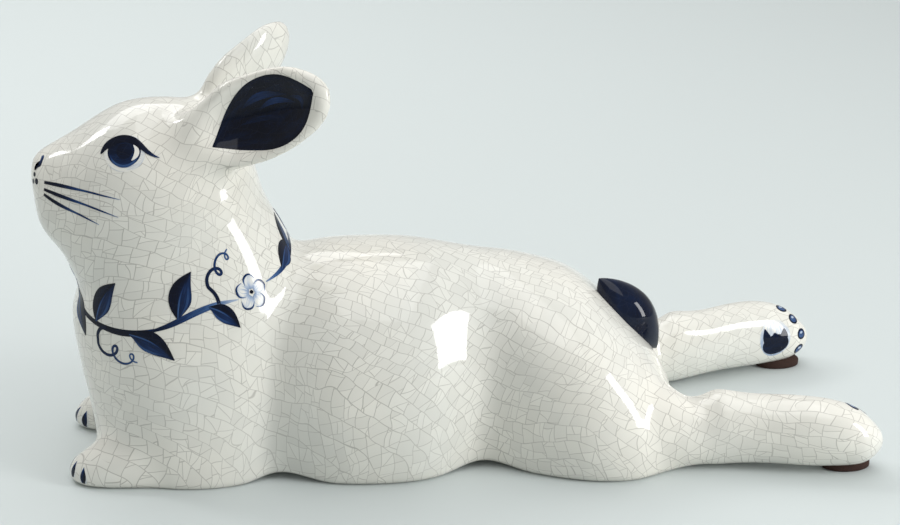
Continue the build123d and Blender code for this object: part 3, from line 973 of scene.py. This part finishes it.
for side_name, pose in EAR_POSES.items():
    group, facing = side_name + "_ear", ear_axes(pose)[3]
    lengths = np.linspace(*EAR_PAINT_ENDS, len(EAR_PAINT_ASIDES))
    almond = in_ear(side_name, np.stack([lengths, EAR_PAINT_ASIDES], 1))
    tones = [EAR_PAINT_TONE] * len(almond)
    stroke(group, 0, almond, facing, EAR_PAINT_WIDTHS, tones, count=120, across=61, mirrored=False)
    for *places, width, tone in EAR_STROKES:
        line = in_ear(side_name, places)
        stroke(group, 1, line, facing, [0.3, width, 0.3], [0.1, tone, 0.1], mirrored=False)
print("strokes with the ears", len(strokes))

# %% [markdown]
# Each paw has four claws, a dark touch on a pale one. They sit on the rounded
# toes, so each faces its own way.

# %% Claw strokes
CLAWS = [  # middle in mm, and the way it faces
    ((-178.0, -41.0, 5.6), (-0.45, -0.85, 0.30)),
    ((-182.0, -35.5, 6.6), (-0.72, -0.58, 0.38)),
    ((-184.0, -28.5, 6.6), (-0.86, -0.10, 0.50)),
    ((-180.5, -22.0, 6.2), (-0.72, 0.52, 0.46)),
]
CLAW_SPINE = np.array([-3.0, -0.5, 2.0, 4.6])  # mm above the middle
PALE_CLAW = ([2.6, 4.4, 3.4, 0.6], [0.88, 0.93, 0.95, 1.0])  # widths in mm and tones
DARK_CLAW = ([1.4, 3.0, 2.2, 0.2], [0.06, 0.10, 0.22, 0.55])
for claw, direction in CLAWS:
    claw_out, _, claw_up = seen_from(direction)
    spine = np.array(claw) * MM + CLAW_SPINE[:, None] * MM * claw_up
    stroke("paw", 0, spine, claw_out, *PALE_CLAW)
    stroke("paw", 1, spine, claw_out, *DARK_CLAW, lean=0.10)
print("strokes with the claws", len(strokes))

# %% [markdown]
# The sole of each hind foot has a lobed pad on a pale wash, and four toe pads: dark, then blue, then a
# small painted highlight.

# %% Sole strokes
sole_out, sole_right, sole_up = seen_from([0.42, 0.84, 0.34])
SOLE = np.array([173.8, -49.0, 20.6]) * MM
SOLE_WASH = (9.4 * MM, 8.8 * MM, (0.80, 0.95))  # half sizes and tones
SOLE_PAD, SOLE_PAD_AT = (7.4 * MM, 5.0 * MM, (0.04, 0.10)), (0.0, -3.4)
LOBES = [  # points in mm to the right of and above the middle of the sole
    [(-4.0, -3.0), (-5.2, 0.6), (-5.6, 3.8)],
    [(0.2, -3.0), (0.2, 0.4), (0.3, 2.6)],
    [(4.0, -3.0), (5.0, 1.2), (5.4, 5.6)],
]
LOBE_WIDTHS, LOBE_TONES = [4.2, 4.2, 0.6], [0.05, 0.08, 0.20]
TOES = [  # middle in mm, and the way it faces
    ((179.6, -62.0, 31.4), (0.25, 0.55, 0.80)),
    ((184.8, -59.0, 26.4), (0.50, 0.70, 0.50)),
    ((188.8, -57.0, 18.8), (0.66, 0.72, 0.20)),
    ((188.6, -55.0, 11.0), (0.62, 0.78, -0.05)),
]
TOE_DABS_AND_HIGHLIGHT = [  # mm above the middle, half sizes in mm, and tones
    (0.0, 3.4, 2.8, (0.08, 0.14)),
    (0.0, 2.4, 1.9, (0.40, 0.54)),
    # painted highlight: the last, small pale dab on each toe pad
    (0.8, 1.2, 0.6, (0.80, 0.86)),
]


def on_sole(pairs):
    """Points given in mm to the right of and above the middle of the left sole."""
    pairs = np.array(pairs, float) * MM
    return SOLE + pairs[:, :1] * sole_right + pairs[:, 1:] * sole_up


dab("sole", 0, SOLE, sole_up, sole_out, *SOLE_WASH, across=11)
dab("sole", 1, on_sole([SOLE_PAD_AT])[0], sole_right, sole_out, *SOLE_PAD)
for lobe in LOBES:
    stroke("sole", 1, on_sole(lobe), sole_out, LOBE_WIDTHS, LOBE_TONES)
for toe, direction in TOES:
    toe_out, toe_right, toe_up = seen_from(direction)
    for layer, (rise, half_long, half_wide, tones) in enumerate(TOE_DABS_AND_HIGHLIGHT):
        place = np.array(toe) * MM + rise * MM * toe_up
        dab("sole", layer, place, toe_right, toe_out, half_long * MM, half_wide * MM, tones)
print("all strokes", len(strokes))

# %% [markdown]
# ## Pressing the strokes onto the skin
# Every ribbon moves along its own normal until it meets the skin, and takes the
# skin's normals, so that highlights run over paint and glaze alike. Shrinkwrap
# does this for all strokes of a group at once.

# %% Pressing
PAINT_LIFT, LAYER_LIFT, PAINT_DEPTH = 0.10 * MM, 0.05 * MM, 0.25 * MM
FURTHEST_PRESS = 34.0 * MM
PAINT_GROUPS = ("head", "neck", "left_ear", "right_ear", "paw", "sole")


def grid_quads(steps, across):
    """Faces of a grid of points, wound so that they face outward."""
    i, j = np.meshgrid(np.arange(steps - 1), np.arange(across - 1), indexing="ij")
    here = (i * across + j).ravel()
    return np.stack([here, here + across, here + across + 1, here + 1], 1)


def grid_rim(steps, across):
    """The border of a grid, once around."""
    rows, columns = np.arange(steps) * across, np.arange(across)
    last = (steps - 1) * across
    far_side = (rows + across - 1)[:0:-1]
    return np.concatenate([rows[:-1], last + columns[:-1], far_side, columns[:0:-1]])


def wrapped(points, faces, target, method):
    """Points moved onto the target by one wrapping method, and the target's normals there."""
    sheet = bpy.data.meshes.new("sheet")
    sheet.from_pydata(points.tolist(), [], faces.tolist())
    holder = bpy.data.objects.new("sheet", sheet)
    bpy.context.scene.collection.objects.link(holder)
    press = holder.modifiers.new("press", "SHRINKWRAP")
    press.wrap_method = method
    press.target = target
    press.use_positive_direction = False
    press.use_negative_direction = True
    take = holder.modifiers.new("take_normals", "DATA_TRANSFER")
    take.object = target
    take.use_loop_data = True
    take.data_types_loops = {"CUSTOM_NORMAL"}
    take.loop_mapping = "POLYINTERP_NEAREST"
    graph = bpy.context.evaluated_depsgraph_get()
    laid = bpy.data.meshes.new_from_object(
        holder.evaluated_get(graph), preserve_all_data_layers=True, depsgraph=graph
    )
    corner_normals = np.empty(len(laid.loops) * 3)
    laid.corner_normals.foreach_get("vector", corner_normals)
    corner = np.empty(len(laid.loops), dtype=np.int64)
    laid.loops.foreach_get("vertex_index", corner)
    corner_normals = corner_normals.reshape(-1, 3)
    sums = [np.bincount(corner, corner_normals[:, axis], len(points)) for axis in range(3)]
    places = coordinates(laid)
    bpy.data.objects.remove(holder)
    return places, np.stack(sums, 1)


def pressed(points, faces, target):
    """Points moved along their normals onto the target, or to its nearest point if that misses."""
    ahead, ahead_normals = wrapped(points, faces, target, "PROJECT")
    close, close_normals = wrapped(points, faces, target, "NEAREST_SURFACEPOINT")
    moved = np.linalg.norm(ahead - points, axis=1)
    missed = (moved < TINY) | (moved > FURTHEST_PRESS)
    places = np.where(missed[:, None], close, ahead)
    return places, unit(np.where(missed[:, None], close_normals, ahead_normals)), int(missed.sum())


print("paint stands", PAINT_LIFT, "proud and reaches", PAINT_DEPTH, "down")

# %% [markdown]
# A bare sheet of faces has no inside, which other tools dislike, so each stroke
# becomes a thin closed shell. Later strokes stand a little higher than earlier
# ones and so lie over them.

# %% Shells of paint
def paint_mesh(name, members, tops, normals):
    """A closed thin shell for each ribbon: its top, the same below, and a rim between."""
    points, faces, tones, owns, offset = [], [], [], [], 0
    for (_, layer, _, tone, own), top, normal in zip(members, tops, normals):
        count = top.shape[0]
        upper = top + normal * (PAINT_LIFT + LAYER_LIFT * layer)
        points += [upper, top - normal * PAINT_DEPTH]
        quads = grid_quads(*tone.shape) + offset
        rim = grid_rim(*tone.shape) + offset
        ahead = np.roll(rim, -1)
        walls = np.stack([ahead, rim, rim + count, ahead + count], 1)
        faces += [quads, quads[:, ::-1] + count, walls]
        tones.append(np.tile(tone.ravel(), 2))
        owns.append(np.tile(own.reshape(-1, 3), (2, 1)))
        offset += 2 * count
    face_kinds = np.concatenate([np.full(len(block), k % 3) for k, block in enumerate(faces)])
    faces = np.concatenate(faces)
    mesh = bpy.data.meshes.new(name)
    mesh.from_pydata(np.concatenate(points).tolist(), [], faces.tolist())
    mesh.polygons.foreach_set("use_smooth", np.ones(len(faces), dtype=bool))
    every = np.concatenate([np.tile(normal, (2, 1)) for normal in normals])
    shading = every[faces.ravel()] * (np.repeat(face_kinds, 4) == 0)[:, None]
    mesh.normals_split_custom_set(shading.tolist())
    tone_values = mesh.attributes.new("tone", "FLOAT", "POINT")
    tone_values.data.foreach_set("value", np.concatenate(tones))
    own_places = mesh.attributes.new("stroke", "FLOAT_VECTOR", "POINT")
    own_places.data.foreach_set("vector", np.concatenate(owns).ravel())
    return mesh


ground_cut.polygons.foreach_set("use_smooth", np.ones(len(ground_cut.polygons), dtype=bool))
canvas = bpy.data.objects.new("canvas", ground_cut)
bpy.context.scene.collection.objects.link(canvas)
paint_meshes = {}
for group in PAINT_GROUPS:
    members = [item for item in strokes if item[0] == group]
    starts = np.concatenate([[0], np.cumsum([item[3].size for item in members])])
    drawn = np.concatenate([item[2].reshape(-1, 3) for item in members])
    quads = [grid_quads(*item[3].shape) + first for item, first in zip(members, starts)]
    laid, laid_normals, missed = pressed(drawn, np.concatenate(quads), canvas)
    tops = [laid[a:b] for a, b in zip(starts, starts[1:])]
    normals = [laid_normals[a:b] for a, b in zip(starts, starts[1:])]
    paint_meshes[group] = paint_mesh(group + "_brushwork", members, tops, normals)
    print(group, len(members), "strokes", len(drawn), "points, taken to the nearest skin", missed)
bpy.data.objects.remove(canvas)

# %% [markdown]
# ## Node groups
# An effect that serves several finishes is a node group, built once. A few small
# helpers keep the code short: they add a node, link or set its sockets, and start
# a group with named sockets.

# %% Node helpers
def connect(tree, node, sockets):
    """Links each socket that is given an output, and sets the others."""
    for key, value in sockets.items():
        if isinstance(value, bpy.types.NodeSocket):
            tree.links.new(value, node.inputs[key])
        else:
            node.inputs[key].default_value = value


def adder(tree):
    """A function that adds a node to a tree: sockets to link or to set, settings by name."""

    def add(kind, sockets=(), **settings):
        node = tree.nodes.new(kind)
        for name, value in settings.items():
            setattr(node, name, value)
        connect(tree, node, dict(sockets))
        return node

    return add


def new_group(name, inputs, outputs):
    """An empty shader node group with named sockets, its adder, and its two ends."""
    group = bpy.data.node_groups.new(name, "ShaderNodeTree")
    for socket_name, kind in inputs.items():
        group.interface.new_socket(socket_name, in_out="INPUT", socket_type=kind)
    for socket_name, kind in outputs.items():
        group.interface.new_socket(socket_name, in_out="OUTPUT", socket_type=kind)
    given = group.nodes.new("NodeGroupInput").outputs
    return group, adder(group), given, group.nodes.new("NodeGroupOutput")


def carried(add, value, source, goal, kind="LINEAR"):
    """A value carried from a source range to a goal range, and held at both ends."""
    ends = {"From Min": source[0], "From Max": source[1], "To Min": goal[0], "To Max": goal[1]}
    return add("ShaderNodeMapRange", {"Value": value, **ends}, interpolation_type=kind).outputs[0]


def clouds(add, place, scale, detail, **more):
    """A soft noise at a place."""
    return add("ShaderNodeTexNoise", {"Vector": place, "Scale": scale, "Detail": detail, **more}).outputs


def mixed(add, share, first, second):
    """Two colours, mixed by a share."""
    return add("ShaderNodeMix", {0: share, 6: first, 7: second}, data_type="RGBA").outputs[2]


def coloured(add, value, stops):
    """A value turned into a colour by a ramp, whose stops are places and colours."""
    node = add("ShaderNodeValToRGB", {"Fac": value})
    elements = node.color_ramp.elements
    for _ in stops[2:]:
        elements.new(0.5)
    for element, (position, colour) in zip(elements, stops):
        element.position, element.color = position, colour
    return node.outputs["Color"]


print("node helpers ready")

# %% [markdown]
# Crackle forms while the glaze cools: long cracks open first, then shorter ones
# cross from one to the next and stop there. Voronoi cells would be quick, but
# their cracks all meet three by three. The group lays bricks in space instead:
# slabs, columns in each slab and blocks in each column, every row shifted by its
# own random step, and all of it turned and bent by soft noise. Some bricks are
# split once more by a slanting joint. The skin cuts through the bricks, and
# their joints are the cracks. A joint that lies nearly in the skin would smear
# out, so its distance is measured along the skin and it fades there.

# %% Crackle helpers
BRICKS = 170.0  # per metre
BRICK_TURN = (0.70, -0.45, 0.30)  # radians
ROW_STEP = 9.0  # a row is shifted by up to this many bricks
SLOW_BEND, SLOW_SCALE = 0.050, 10.0  # how far a soft noise moves the joints, and its scale
QUICK_BEND, QUICK_SCALE = 0.0055, 60.0
CRACK_INNER, CRACK_OUTER = 0.00003, 0.00025  # half widths between which a crack fades
FLATTEST = 0.30  # least slope between a joint and the skin that still draws a crack
LEAST_SINE = 0.01  # keeps the square of a slope above zero
UNSPLIT = 0.62  # share of the bricks without a slanting joint
FAINT_SCALE, FAINT_NOISE, FAINTEST = 30.0, (0.3, 0.7), 0.6  # how cracks come and go
HALF = (0.5, 0.5, 0.5)
crackle, crack_node, given, result = new_group(
    "crackle",
    {"Position": "NodeSocketVector", "Normal": "NodeSocketVector"},
    {"Crack": "NodeSocketFloat", "Cell": "NodeSocketFloat"},
)


def figure(operation, *values):
    """A math node's result in the crackle group."""
    return crack_node("ShaderNodeMath", dict(enumerate(values)), operation=operation).outputs[0]


def vector_figure(operation, *values, output=0):
    """A vector math node's result in the crackle group."""
    node = crack_node("ShaderNodeVectorMath", dict(enumerate(values)), operation=operation)
    return node.outputs[output]


def chance_of(dimensions, **seed):
    """A random value and colour for each whole-numbered seed."""
    return crack_node("ShaderNodeTexWhiteNoise", seed, noise_dimensions=dimensions).outputs


def bend(place, scale, amount):
    """The place, moved by a noise of a given scale."""
    centred = vector_figure("SUBTRACT", clouds(crack_node, place, scale, 1.0)["Color"], HALF)
    return vector_figure("ADD", place, vector_figure("MULTIPLY", centred, (amount,) * 3))


def joint(coordinate, slope):
    """How dark the joint between bricks is, from the distance to it along the skin."""
    across = figure("ABSOLUTE", figure("SUBTRACT", figure("FRACT", coordinate), 0.5))
    distance = figure("DIVIDE", figure("SUBTRACT", 0.5, across), figure("MULTIPLY", slope, BRICKS))
    line = carried(crack_node, distance, (CRACK_INNER, CRACK_OUTER), (1.0, 0.0), "SMOOTHSTEP")
    return figure("MULTIPLY", line, carried(crack_node, slope, (FLATTEST / 2.0, FLATTEST), (0.0, 1.0)))


def slope_to(axis_part):
    """The sine between the skin and planes across one axis."""
    square = figure("SUBTRACT", 1.0, figure("MULTIPLY", axis_part, axis_part))
    return figure("SQRT", figure("MAXIMUM", square, LEAST_SINE))


def brick_turned(vector):
    """A vector seen from the turned pile of bricks."""
    sockets = {"Vector": vector, "Rotation": BRICK_TURN}
    return crack_node("ShaderNodeVectorRotate", sockets, rotation_type="EULER_XYZ").outputs[0]


print("a brick is", round(1000.0 / BRICKS, 1), "mm wide")

# %% [markdown]
# Now the pile itself: the slab's number shifts the columns, slab and column
# together shift the blocks, and each block draws a chance for its slanting joint.

# %% Crackle group
position, normal = given["Position"], given["Normal"]
bent = bend(bend(position, SLOW_SCALE, SLOW_BEND), QUICK_SCALE, QUICK_BEND)
pile = vector_figure("MULTIPLY", brick_turned(bent), (BRICKS,) * 3)
brick = crack_node("ShaderNodeSeparateXYZ", {0: pile}).outputs
upright = brick_turned(normal)
part = crack_node("ShaderNodeSeparateXYZ", {0: upright}).outputs
slab = figure("FLOOR", brick[2])
slab_step = chance_of("1D", W=slab)["Value"]
in_slab = figure("ADD", brick[0], figure("MULTIPLY", slab_step, ROW_STEP))
slab_and_column = crack_node("ShaderNodeCombineXYZ", {0: slab, 1: figure("FLOOR", in_slab)}).outputs[0]
column_step = chance_of("2D", Vector=slab_and_column)["Value"]
in_column = figure("ADD", brick[1], figure("MULTIPLY", column_step, ROW_STEP))
in_block = crack_node("ShaderNodeCombineXYZ", {0: in_slab, 1: in_column, 2: brick[2]}).outputs[0]
chance = chance_of("3D", Vector=vector_figure("FLOOR", in_block))
slant = vector_figure("NORMALIZE", vector_figure("SUBTRACT", chance["Color"], HALF))
from_middle = vector_figure("SUBTRACT", vector_figure("FRACTION", in_block), HALF)
slanting = joint(
    vector_figure("DOT_PRODUCT", from_middle, slant, output="Value"),
    slope_to(vector_figure("DOT_PRODUCT", upright, slant, output="Value")),
)
darkest = figure("MULTIPLY", slanting, figure("GREATER_THAN", chance["Value"], UNSPLIT))
for coordinate, axis_part in ((brick[2], part[2]), (in_slab, part[0]), (in_column, part[1])):
    darkest = figure("MAXIMUM", darkest, joint(coordinate, slope_to(axis_part)))
faint = clouds(crack_node, position, FAINT_SCALE, 3.0)["Fac"]
strength = carried(crack_node, faint, FAINT_NOISE, (FAINTEST, 1.0))
crackle.links.new(figure("MULTIPLY", darkest, strength), result.inputs["Crack"])
crackle.links.new(chance["Value"], result.inputs["Cell"])
print("crackle nodes", len(crackle.nodes))

# %% [markdown]
# The glaze is a warm off-white that pools thicker and greyer in places, and its
# surface is not quite even. One flat colour would look like plastic, so a slow
# noise moves the tone, each cell of the crackle differs a little, and a second
# noise gives the height of soft waves.

# %% Glaze and ripple groups
POOL_SCALE = 16.0
GLAZE_STOPS = [(0.35, (0.72, 0.72, 0.67, 1.0)), (0.68, (0.80, 0.78, 0.71, 1.0))]
CELL_TONES = (0.94, 1.03)  # darkest and lightest cell
CRACK_STAIN, CRACK_COLOUR = 0.58, (0.20, 0.18, 0.16, 1.0)
RIPPLE_SCALE = 34.0

glaze_tone, add, given, result = new_group(
    "glaze_tone",
    {"Position": "NodeSocketVector", "Crack": "NodeSocketFloat", "Cell": "NodeSocketFloat"},
    {"Color": "NodeSocketColor"},
)
warmth = coloured(add, clouds(add, given["Position"], POOL_SCALE, 3.0)["Fac"], GLAZE_STOPS)
patch = carried(add, given["Cell"], (0.0, 1.0), CELL_TONES)
patched = add("ShaderNodeVectorMath", {0: warmth, "Scale": patch}, operation="SCALE").outputs[0]
stain = add("ShaderNodeMath", {0: given["Crack"], 1: CRACK_STAIN}, operation="MULTIPLY").outputs[0]
glaze_tone.links.new(mixed(add, stain, patched, CRACK_COLOUR), result.inputs["Color"])

ripple, add, given, result = new_group(
    "ripple", {"Position": "NodeSocketVector"}, {"Height": "NodeSocketFloat"}
)
waves = clouds(add, given["Position"], RIPPLE_SCALE, 2.0)["Fac"]
ripple.links.new(waves, result.inputs["Height"])
print("glaze nodes", len(glaze_tone.nodes), "ripple nodes", len(ripple.nodes))

# %% [markdown]
# The brush group turns a stroke's tone into cobalt: nearly black, then navy,
# blue, pale wash and bare glaze. A noise that is long along the stroke and short
# across it gives the streaks that the hairs of the brush leave.

# %% Brush group
HAIRS = (110.0, 5.0, 3.7)  # noise per metre along, per half width across, and per stroke
STREAK_NOISE, STREAK_SHIFT = (0.25, 0.75), (-0.11, 0.13)  # how far the streaks move the tone
COBALT = [
    (0.0, (0.0008, 0.0024, 0.010, 1.0)),
    (0.18, (0.0015, 0.0075, 0.030, 1.0)),
    (0.40, (0.008, 0.030, 0.108, 1.0)),
    (0.62, (0.050, 0.115, 0.265, 1.0)),
    (0.84, (0.38, 0.46, 0.59, 1.0)),
    (0.97, (0.78, 0.77, 0.72, 1.0)),
]
HAIRLINE, HAIRLINE_COLOUR = 0.06, (0.10, 0.10, 0.12, 1.0)  # cracks hardly show in the paint

brush, add, given, result = new_group(
    "brush",
    {"Tone": "NodeSocketFloat", "Stroke": "NodeSocketVector", "Crack": "NodeSocketFloat"},
    {"Color": "NodeSocketColor"},
)
hairs = add("ShaderNodeVectorMath", {0: given["Stroke"], 1: HAIRS}, operation="MULTIPLY").outputs[0]
streak = clouds(add, hairs, 1.0, 4.0, Roughness=0.65)["Fac"]
shift = carried(add, streak, STREAK_NOISE, STREAK_SHIFT)
worn = add("ShaderNodeMath", {0: given["Tone"], 1: shift}, operation="ADD").outputs[0]
hairline = add("ShaderNodeMath", {0: given["Crack"], 1: HAIRLINE}, operation="MULTIPLY").outputs[0]
crazed = mixed(add, hairline, coloured(add, worn, COBALT), HAIRLINE_COLOUR)
brush.links.new(crazed, result.inputs["Color"])
print("groups", [group.name for group in bpy.data.node_groups])

# %% [markdown]
# ## Finishes
# Glaze is glass over clay: a plain colour below and a sharp reflection on top. A
# separate clear coat could be added, but the shader's own gloss already is one.
# Brushwork is the same glass over paint, which reflects a little less.

# %% Glaze and brushwork
GLAZE_ROUGHNESS, PAINT_SPECULAR = 0.07, 0.22
WAVE_STRENGTH, WAVE_HEIGHT = 0.25, 0.0009


def new_material(name):
    """A material, a function that adds nodes to it, and its coordinates."""
    material = bpy.data.materials.new(name)
    material.use_nodes = True
    add = adder(material.node_tree)
    return material, add, add("ShaderNodeTexCoord").outputs


def finish(material, sockets):
    """Links or sets sockets of a material's own surface shader."""
    connect(material.node_tree, material.node_tree.nodes["Principled BSDF"], sockets)


def crazing(add, spot):
    """The crackle net of a material."""
    sockets = {"Position": spot["Object"], "Normal": spot["Normal"]}
    return add("ShaderNodeGroup", sockets, node_tree=crackle).outputs


def waved(add, spot):
    """The normal of a glaze whose surface is not quite even."""
    height = add("ShaderNodeGroup", {"Position": spot["Object"]}, node_tree=ripple).outputs["Height"]
    sockets = {"Height": height, "Strength": WAVE_STRENGTH, "Distance": WAVE_HEIGHT}
    return add("ShaderNodeBump", sockets).outputs["Normal"]


def brushed(add, tone, place, net):
    """The colour that the brush group gives to a tone."""
    sockets = {"Tone": tone, "Stroke": place, "Crack": net["Crack"]}
    return add("ShaderNodeGroup", sockets, node_tree=brush).outputs["Color"]


glaze, add, spot = new_material("crackle_glaze")
net = crazing(add, spot)
sockets = {"Position": spot["Object"], "Crack": net["Crack"], "Cell": net["Cell"]}
tone = add("ShaderNodeGroup", sockets, node_tree=glaze_tone).outputs["Color"]
finish(glaze, {"Base Color": tone, "Roughness": GLAZE_ROUGHNESS, "Normal": waved(add, spot)})

paint, add, spot = new_material("cobalt_brushwork")
tone = add("ShaderNodeAttribute", attribute_name="tone").outputs["Fac"]
own_place = add("ShaderNodeAttribute", attribute_name="stroke").outputs["Vector"]
finish(paint, {"Base Color": brushed(add, tone, own_place, crazing(add, spot)), "Normal": waved(add, spot)})
finish(paint, {"Roughness": GLAZE_ROUGHNESS, "Specular IOR Level": PAINT_SPECULAR})
print("glazes", glaze.name, paint.name)

# %% [markdown]
# The tail is dipped in dark cobalt, which runs down in streaks: the brush group
# again, with a noise drawn out along the slope for its tone. The pads are matte
# felt, and a fine noise gives both the fibres' colour and their nap.

# %% Tail and felt
TAIL_RUNS, TAIL_NOISE, TAIL_TONES = (14.0, 150.0, 14.0), (0.3, 0.7), (-0.02, 0.20)
TAIL_ROUGHNESS, TAIL_SPECULAR = 0.06, 0.3
FIBRE_SCALE, NAP_STRENGTH, NAP_HEIGHT, FELT_ROUGHNESS = 1500.0, 0.6, 0.0004, 0.92
FELT_STOPS = [(0.0, (0.010, 0.004, 0.003, 1.0)), (1.0, (0.058, 0.022, 0.014, 1.0))]

tail_glaze, add, spot = new_material("dark_tail_glaze")
place = spot["Object"]
drawn_out = add("ShaderNodeVectorMath", {0: place, 1: TAIL_RUNS}, operation="MULTIPLY").outputs[0]
runs = clouds(add, drawn_out, 1.0, 4.0, Roughness=0.6)["Fac"]
depth = carried(add, runs, TAIL_NOISE, TAIL_TONES)
finish(tail_glaze, {"Base Color": brushed(add, depth, place, crazing(add, spot))})
finish(tail_glaze, {"Roughness": TAIL_ROUGHNESS, "Specular IOR Level": TAIL_SPECULAR})

felt, add, spot = new_material("brown_felt")
fibre = clouds(add, spot["Object"], FIBRE_SCALE, 3.0)["Fac"]
nap = add("ShaderNodeBump", {"Height": fibre, "Strength": NAP_STRENGTH, "Distance": NAP_HEIGHT})
finish(felt, {"Base Color": coloured(add, fibre, FELT_STOPS), "Normal": nap.outputs["Normal"]})
finish(felt, {"Roughness": FELT_ROUGHNESS})
print("tail and felt", tail_glaze.name, felt.name)

# %% [markdown]
# ## Placing the pieces
# Every mesh already has its place in its points, so each object stays at the origin. A piece rides on the
# one body, hides its CAD node and takes its own finish. The brushwork hides no node, because it lies on
# them.

# %% Pieces
def placed(name, mesh, node, material):
    """A finished piece: an object at the origin that hides its CAD node, if it has one."""
    piece = bpy.data.objects.new(name, mesh)
    bpy.context.scene.collection.objects.link(piece)
    mesh.materials.clear()
    mesh.materials.append(material)
    mesh.polygons.foreach_set("material_index", np.zeros(len(mesh.polygons), dtype=np.int32))
    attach(piece, "root")
    if node:
        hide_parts(node)


for node, mesh in ceramic_meshes.items():
    placed(node + "_glazed", mesh, node, glaze)
placed("tail_glazed", tail_mesh, "tail", tail_glaze)
for node, mesh in pad_meshes.items():
    placed(node + "_felt", mesh, node, felt)
for group, mesh in paint_meshes.items():
    placed(group + "_brushwork", mesh, None, paint)
print("pieces", len(ceramic_meshes) + 1 + len(pad_meshes) + len(paint_meshes))

# %% [markdown]
# ## Floor and light
# The figure lies on pale paper. A tall window on the right and a small one on the
# left draw the highlights, a large soft box above fills the shadows, and a wash
# of light brightens the paper behind. One strong lamp would burn out the glaze,
# so all of them stay weak and the pale world does the rest.

# %% Stage
FLOOR_REACH = 4.0
PAPER_COLOUR, PAPER_ROUGHNESS = (0.60, 0.648, 0.645, 1.0), 0.8
WORLD_COLOUR, WORLD_STRENGTH = (0.87, 0.88, 0.87, 1.0), 0.53
AIM = (0.0, 0.0, 0.07)  # the middle of the figure
LAMPS = [  # name, place, aim, width and height in metres, and watts
    ("right_window", (1.09, -0.61, 0.45), AIM, (0.32, 0.80), 10.0),
    ("left_window", (-0.86, 0.50, 0.92), AIM, (0.22, 0.24), 2.0),
    ("top_fill", (0.10, 0.00, 1.55), AIM, (2.2, 1.0), 10.0),
    ("back_wash", (-0.50, 1.05, 1.20), (-0.45, 1.00, 0.0), (1.4, 0.8), 8.5),
]


def soft_box(name, place, aim, size, power):
    """A rectangular lamp at a place, turned to an aim point."""
    lamp = bpy.data.lights.new(name, "AREA")
    lamp.shape = "RECTANGLE"
    lamp.size, lamp.size_y = size
    lamp.energy = power
    box = bpy.data.objects.new(name, lamp)
    box.location = place
    box.rotation_euler = (Vector(aim) - Vector(place)).to_track_quat("-Z", "Y").to_euler()
    bpy.context.scene.collection.objects.link(box)


corners = np.array([(-1.0, -1.0, 0.0), (1.0, -1.0, 0.0), (1.0, 1.0, 0.0), (-1.0, 1.0, 0.0)])
stage_mesh = bpy.data.meshes.new("paper_floor")
stage_mesh.from_pydata((corners * FLOOR_REACH).tolist(), [], [(0, 1, 2, 3)])
floor = bpy.data.objects.new("paper_floor", stage_mesh)
bpy.context.scene.collection.objects.link(floor)
paper = bpy.data.materials.new("pale_paper")
paper.use_nodes = True
finish(paper, {"Base Color": PAPER_COLOUR, "Roughness": PAPER_ROUGHNESS})
stage_mesh.materials.append(paper)

for lamp_row in LAMPS:
    soft_box(*lamp_row)
world = bpy.data.worlds.new("studio")
world.use_nodes = True
background = world.node_tree.nodes["Background"]
connect(world.node_tree, background, {"Color": WORLD_COLOUR, "Strength": WORLD_STRENGTH})
bpy.context.scene.world = world
print("lamps", [row[0] for row in LAMPS])

# %% [markdown]
# ## Camera
# The view is from the rabbit's left side and a little from above. A short lens
# close by would make the near leg grow, so a long lens looks from a metre away.

# %% Camera
AZIMUTH, ELEVATION, DISTANCE = np.radians(-7.0), np.radians(20.5), 1.0
LENS, SENSOR, NEAREST = 85.0, 36.0, 0.01  # two in mm, and the nearest distance in metres
TARGET = Vector((-0.0035, -0.0105, 0.0923))
level = np.cos(ELEVATION)
back = Vector((np.sin(AZIMUTH) * level, -np.cos(AZIMUTH) * level, np.sin(ELEVATION)))
lens = bpy.data.cameras.new("camera")
lens.lens, lens.sensor_width, lens.clip_start = LENS, SENSOR, NEAREST
camera = bpy.data.objects.new("camera", lens)
camera.location = TARGET + back * DISTANCE
camera.rotation_euler = back.to_track_quat("Z", "Y").to_euler()
bpy.context.scene.collection.objects.link(camera)
bpy.context.scene.camera = camera
bpy.context.scene.view_settings.view_transform = "Standard"
print("camera at", [round(v, 3) for v in camera.location])
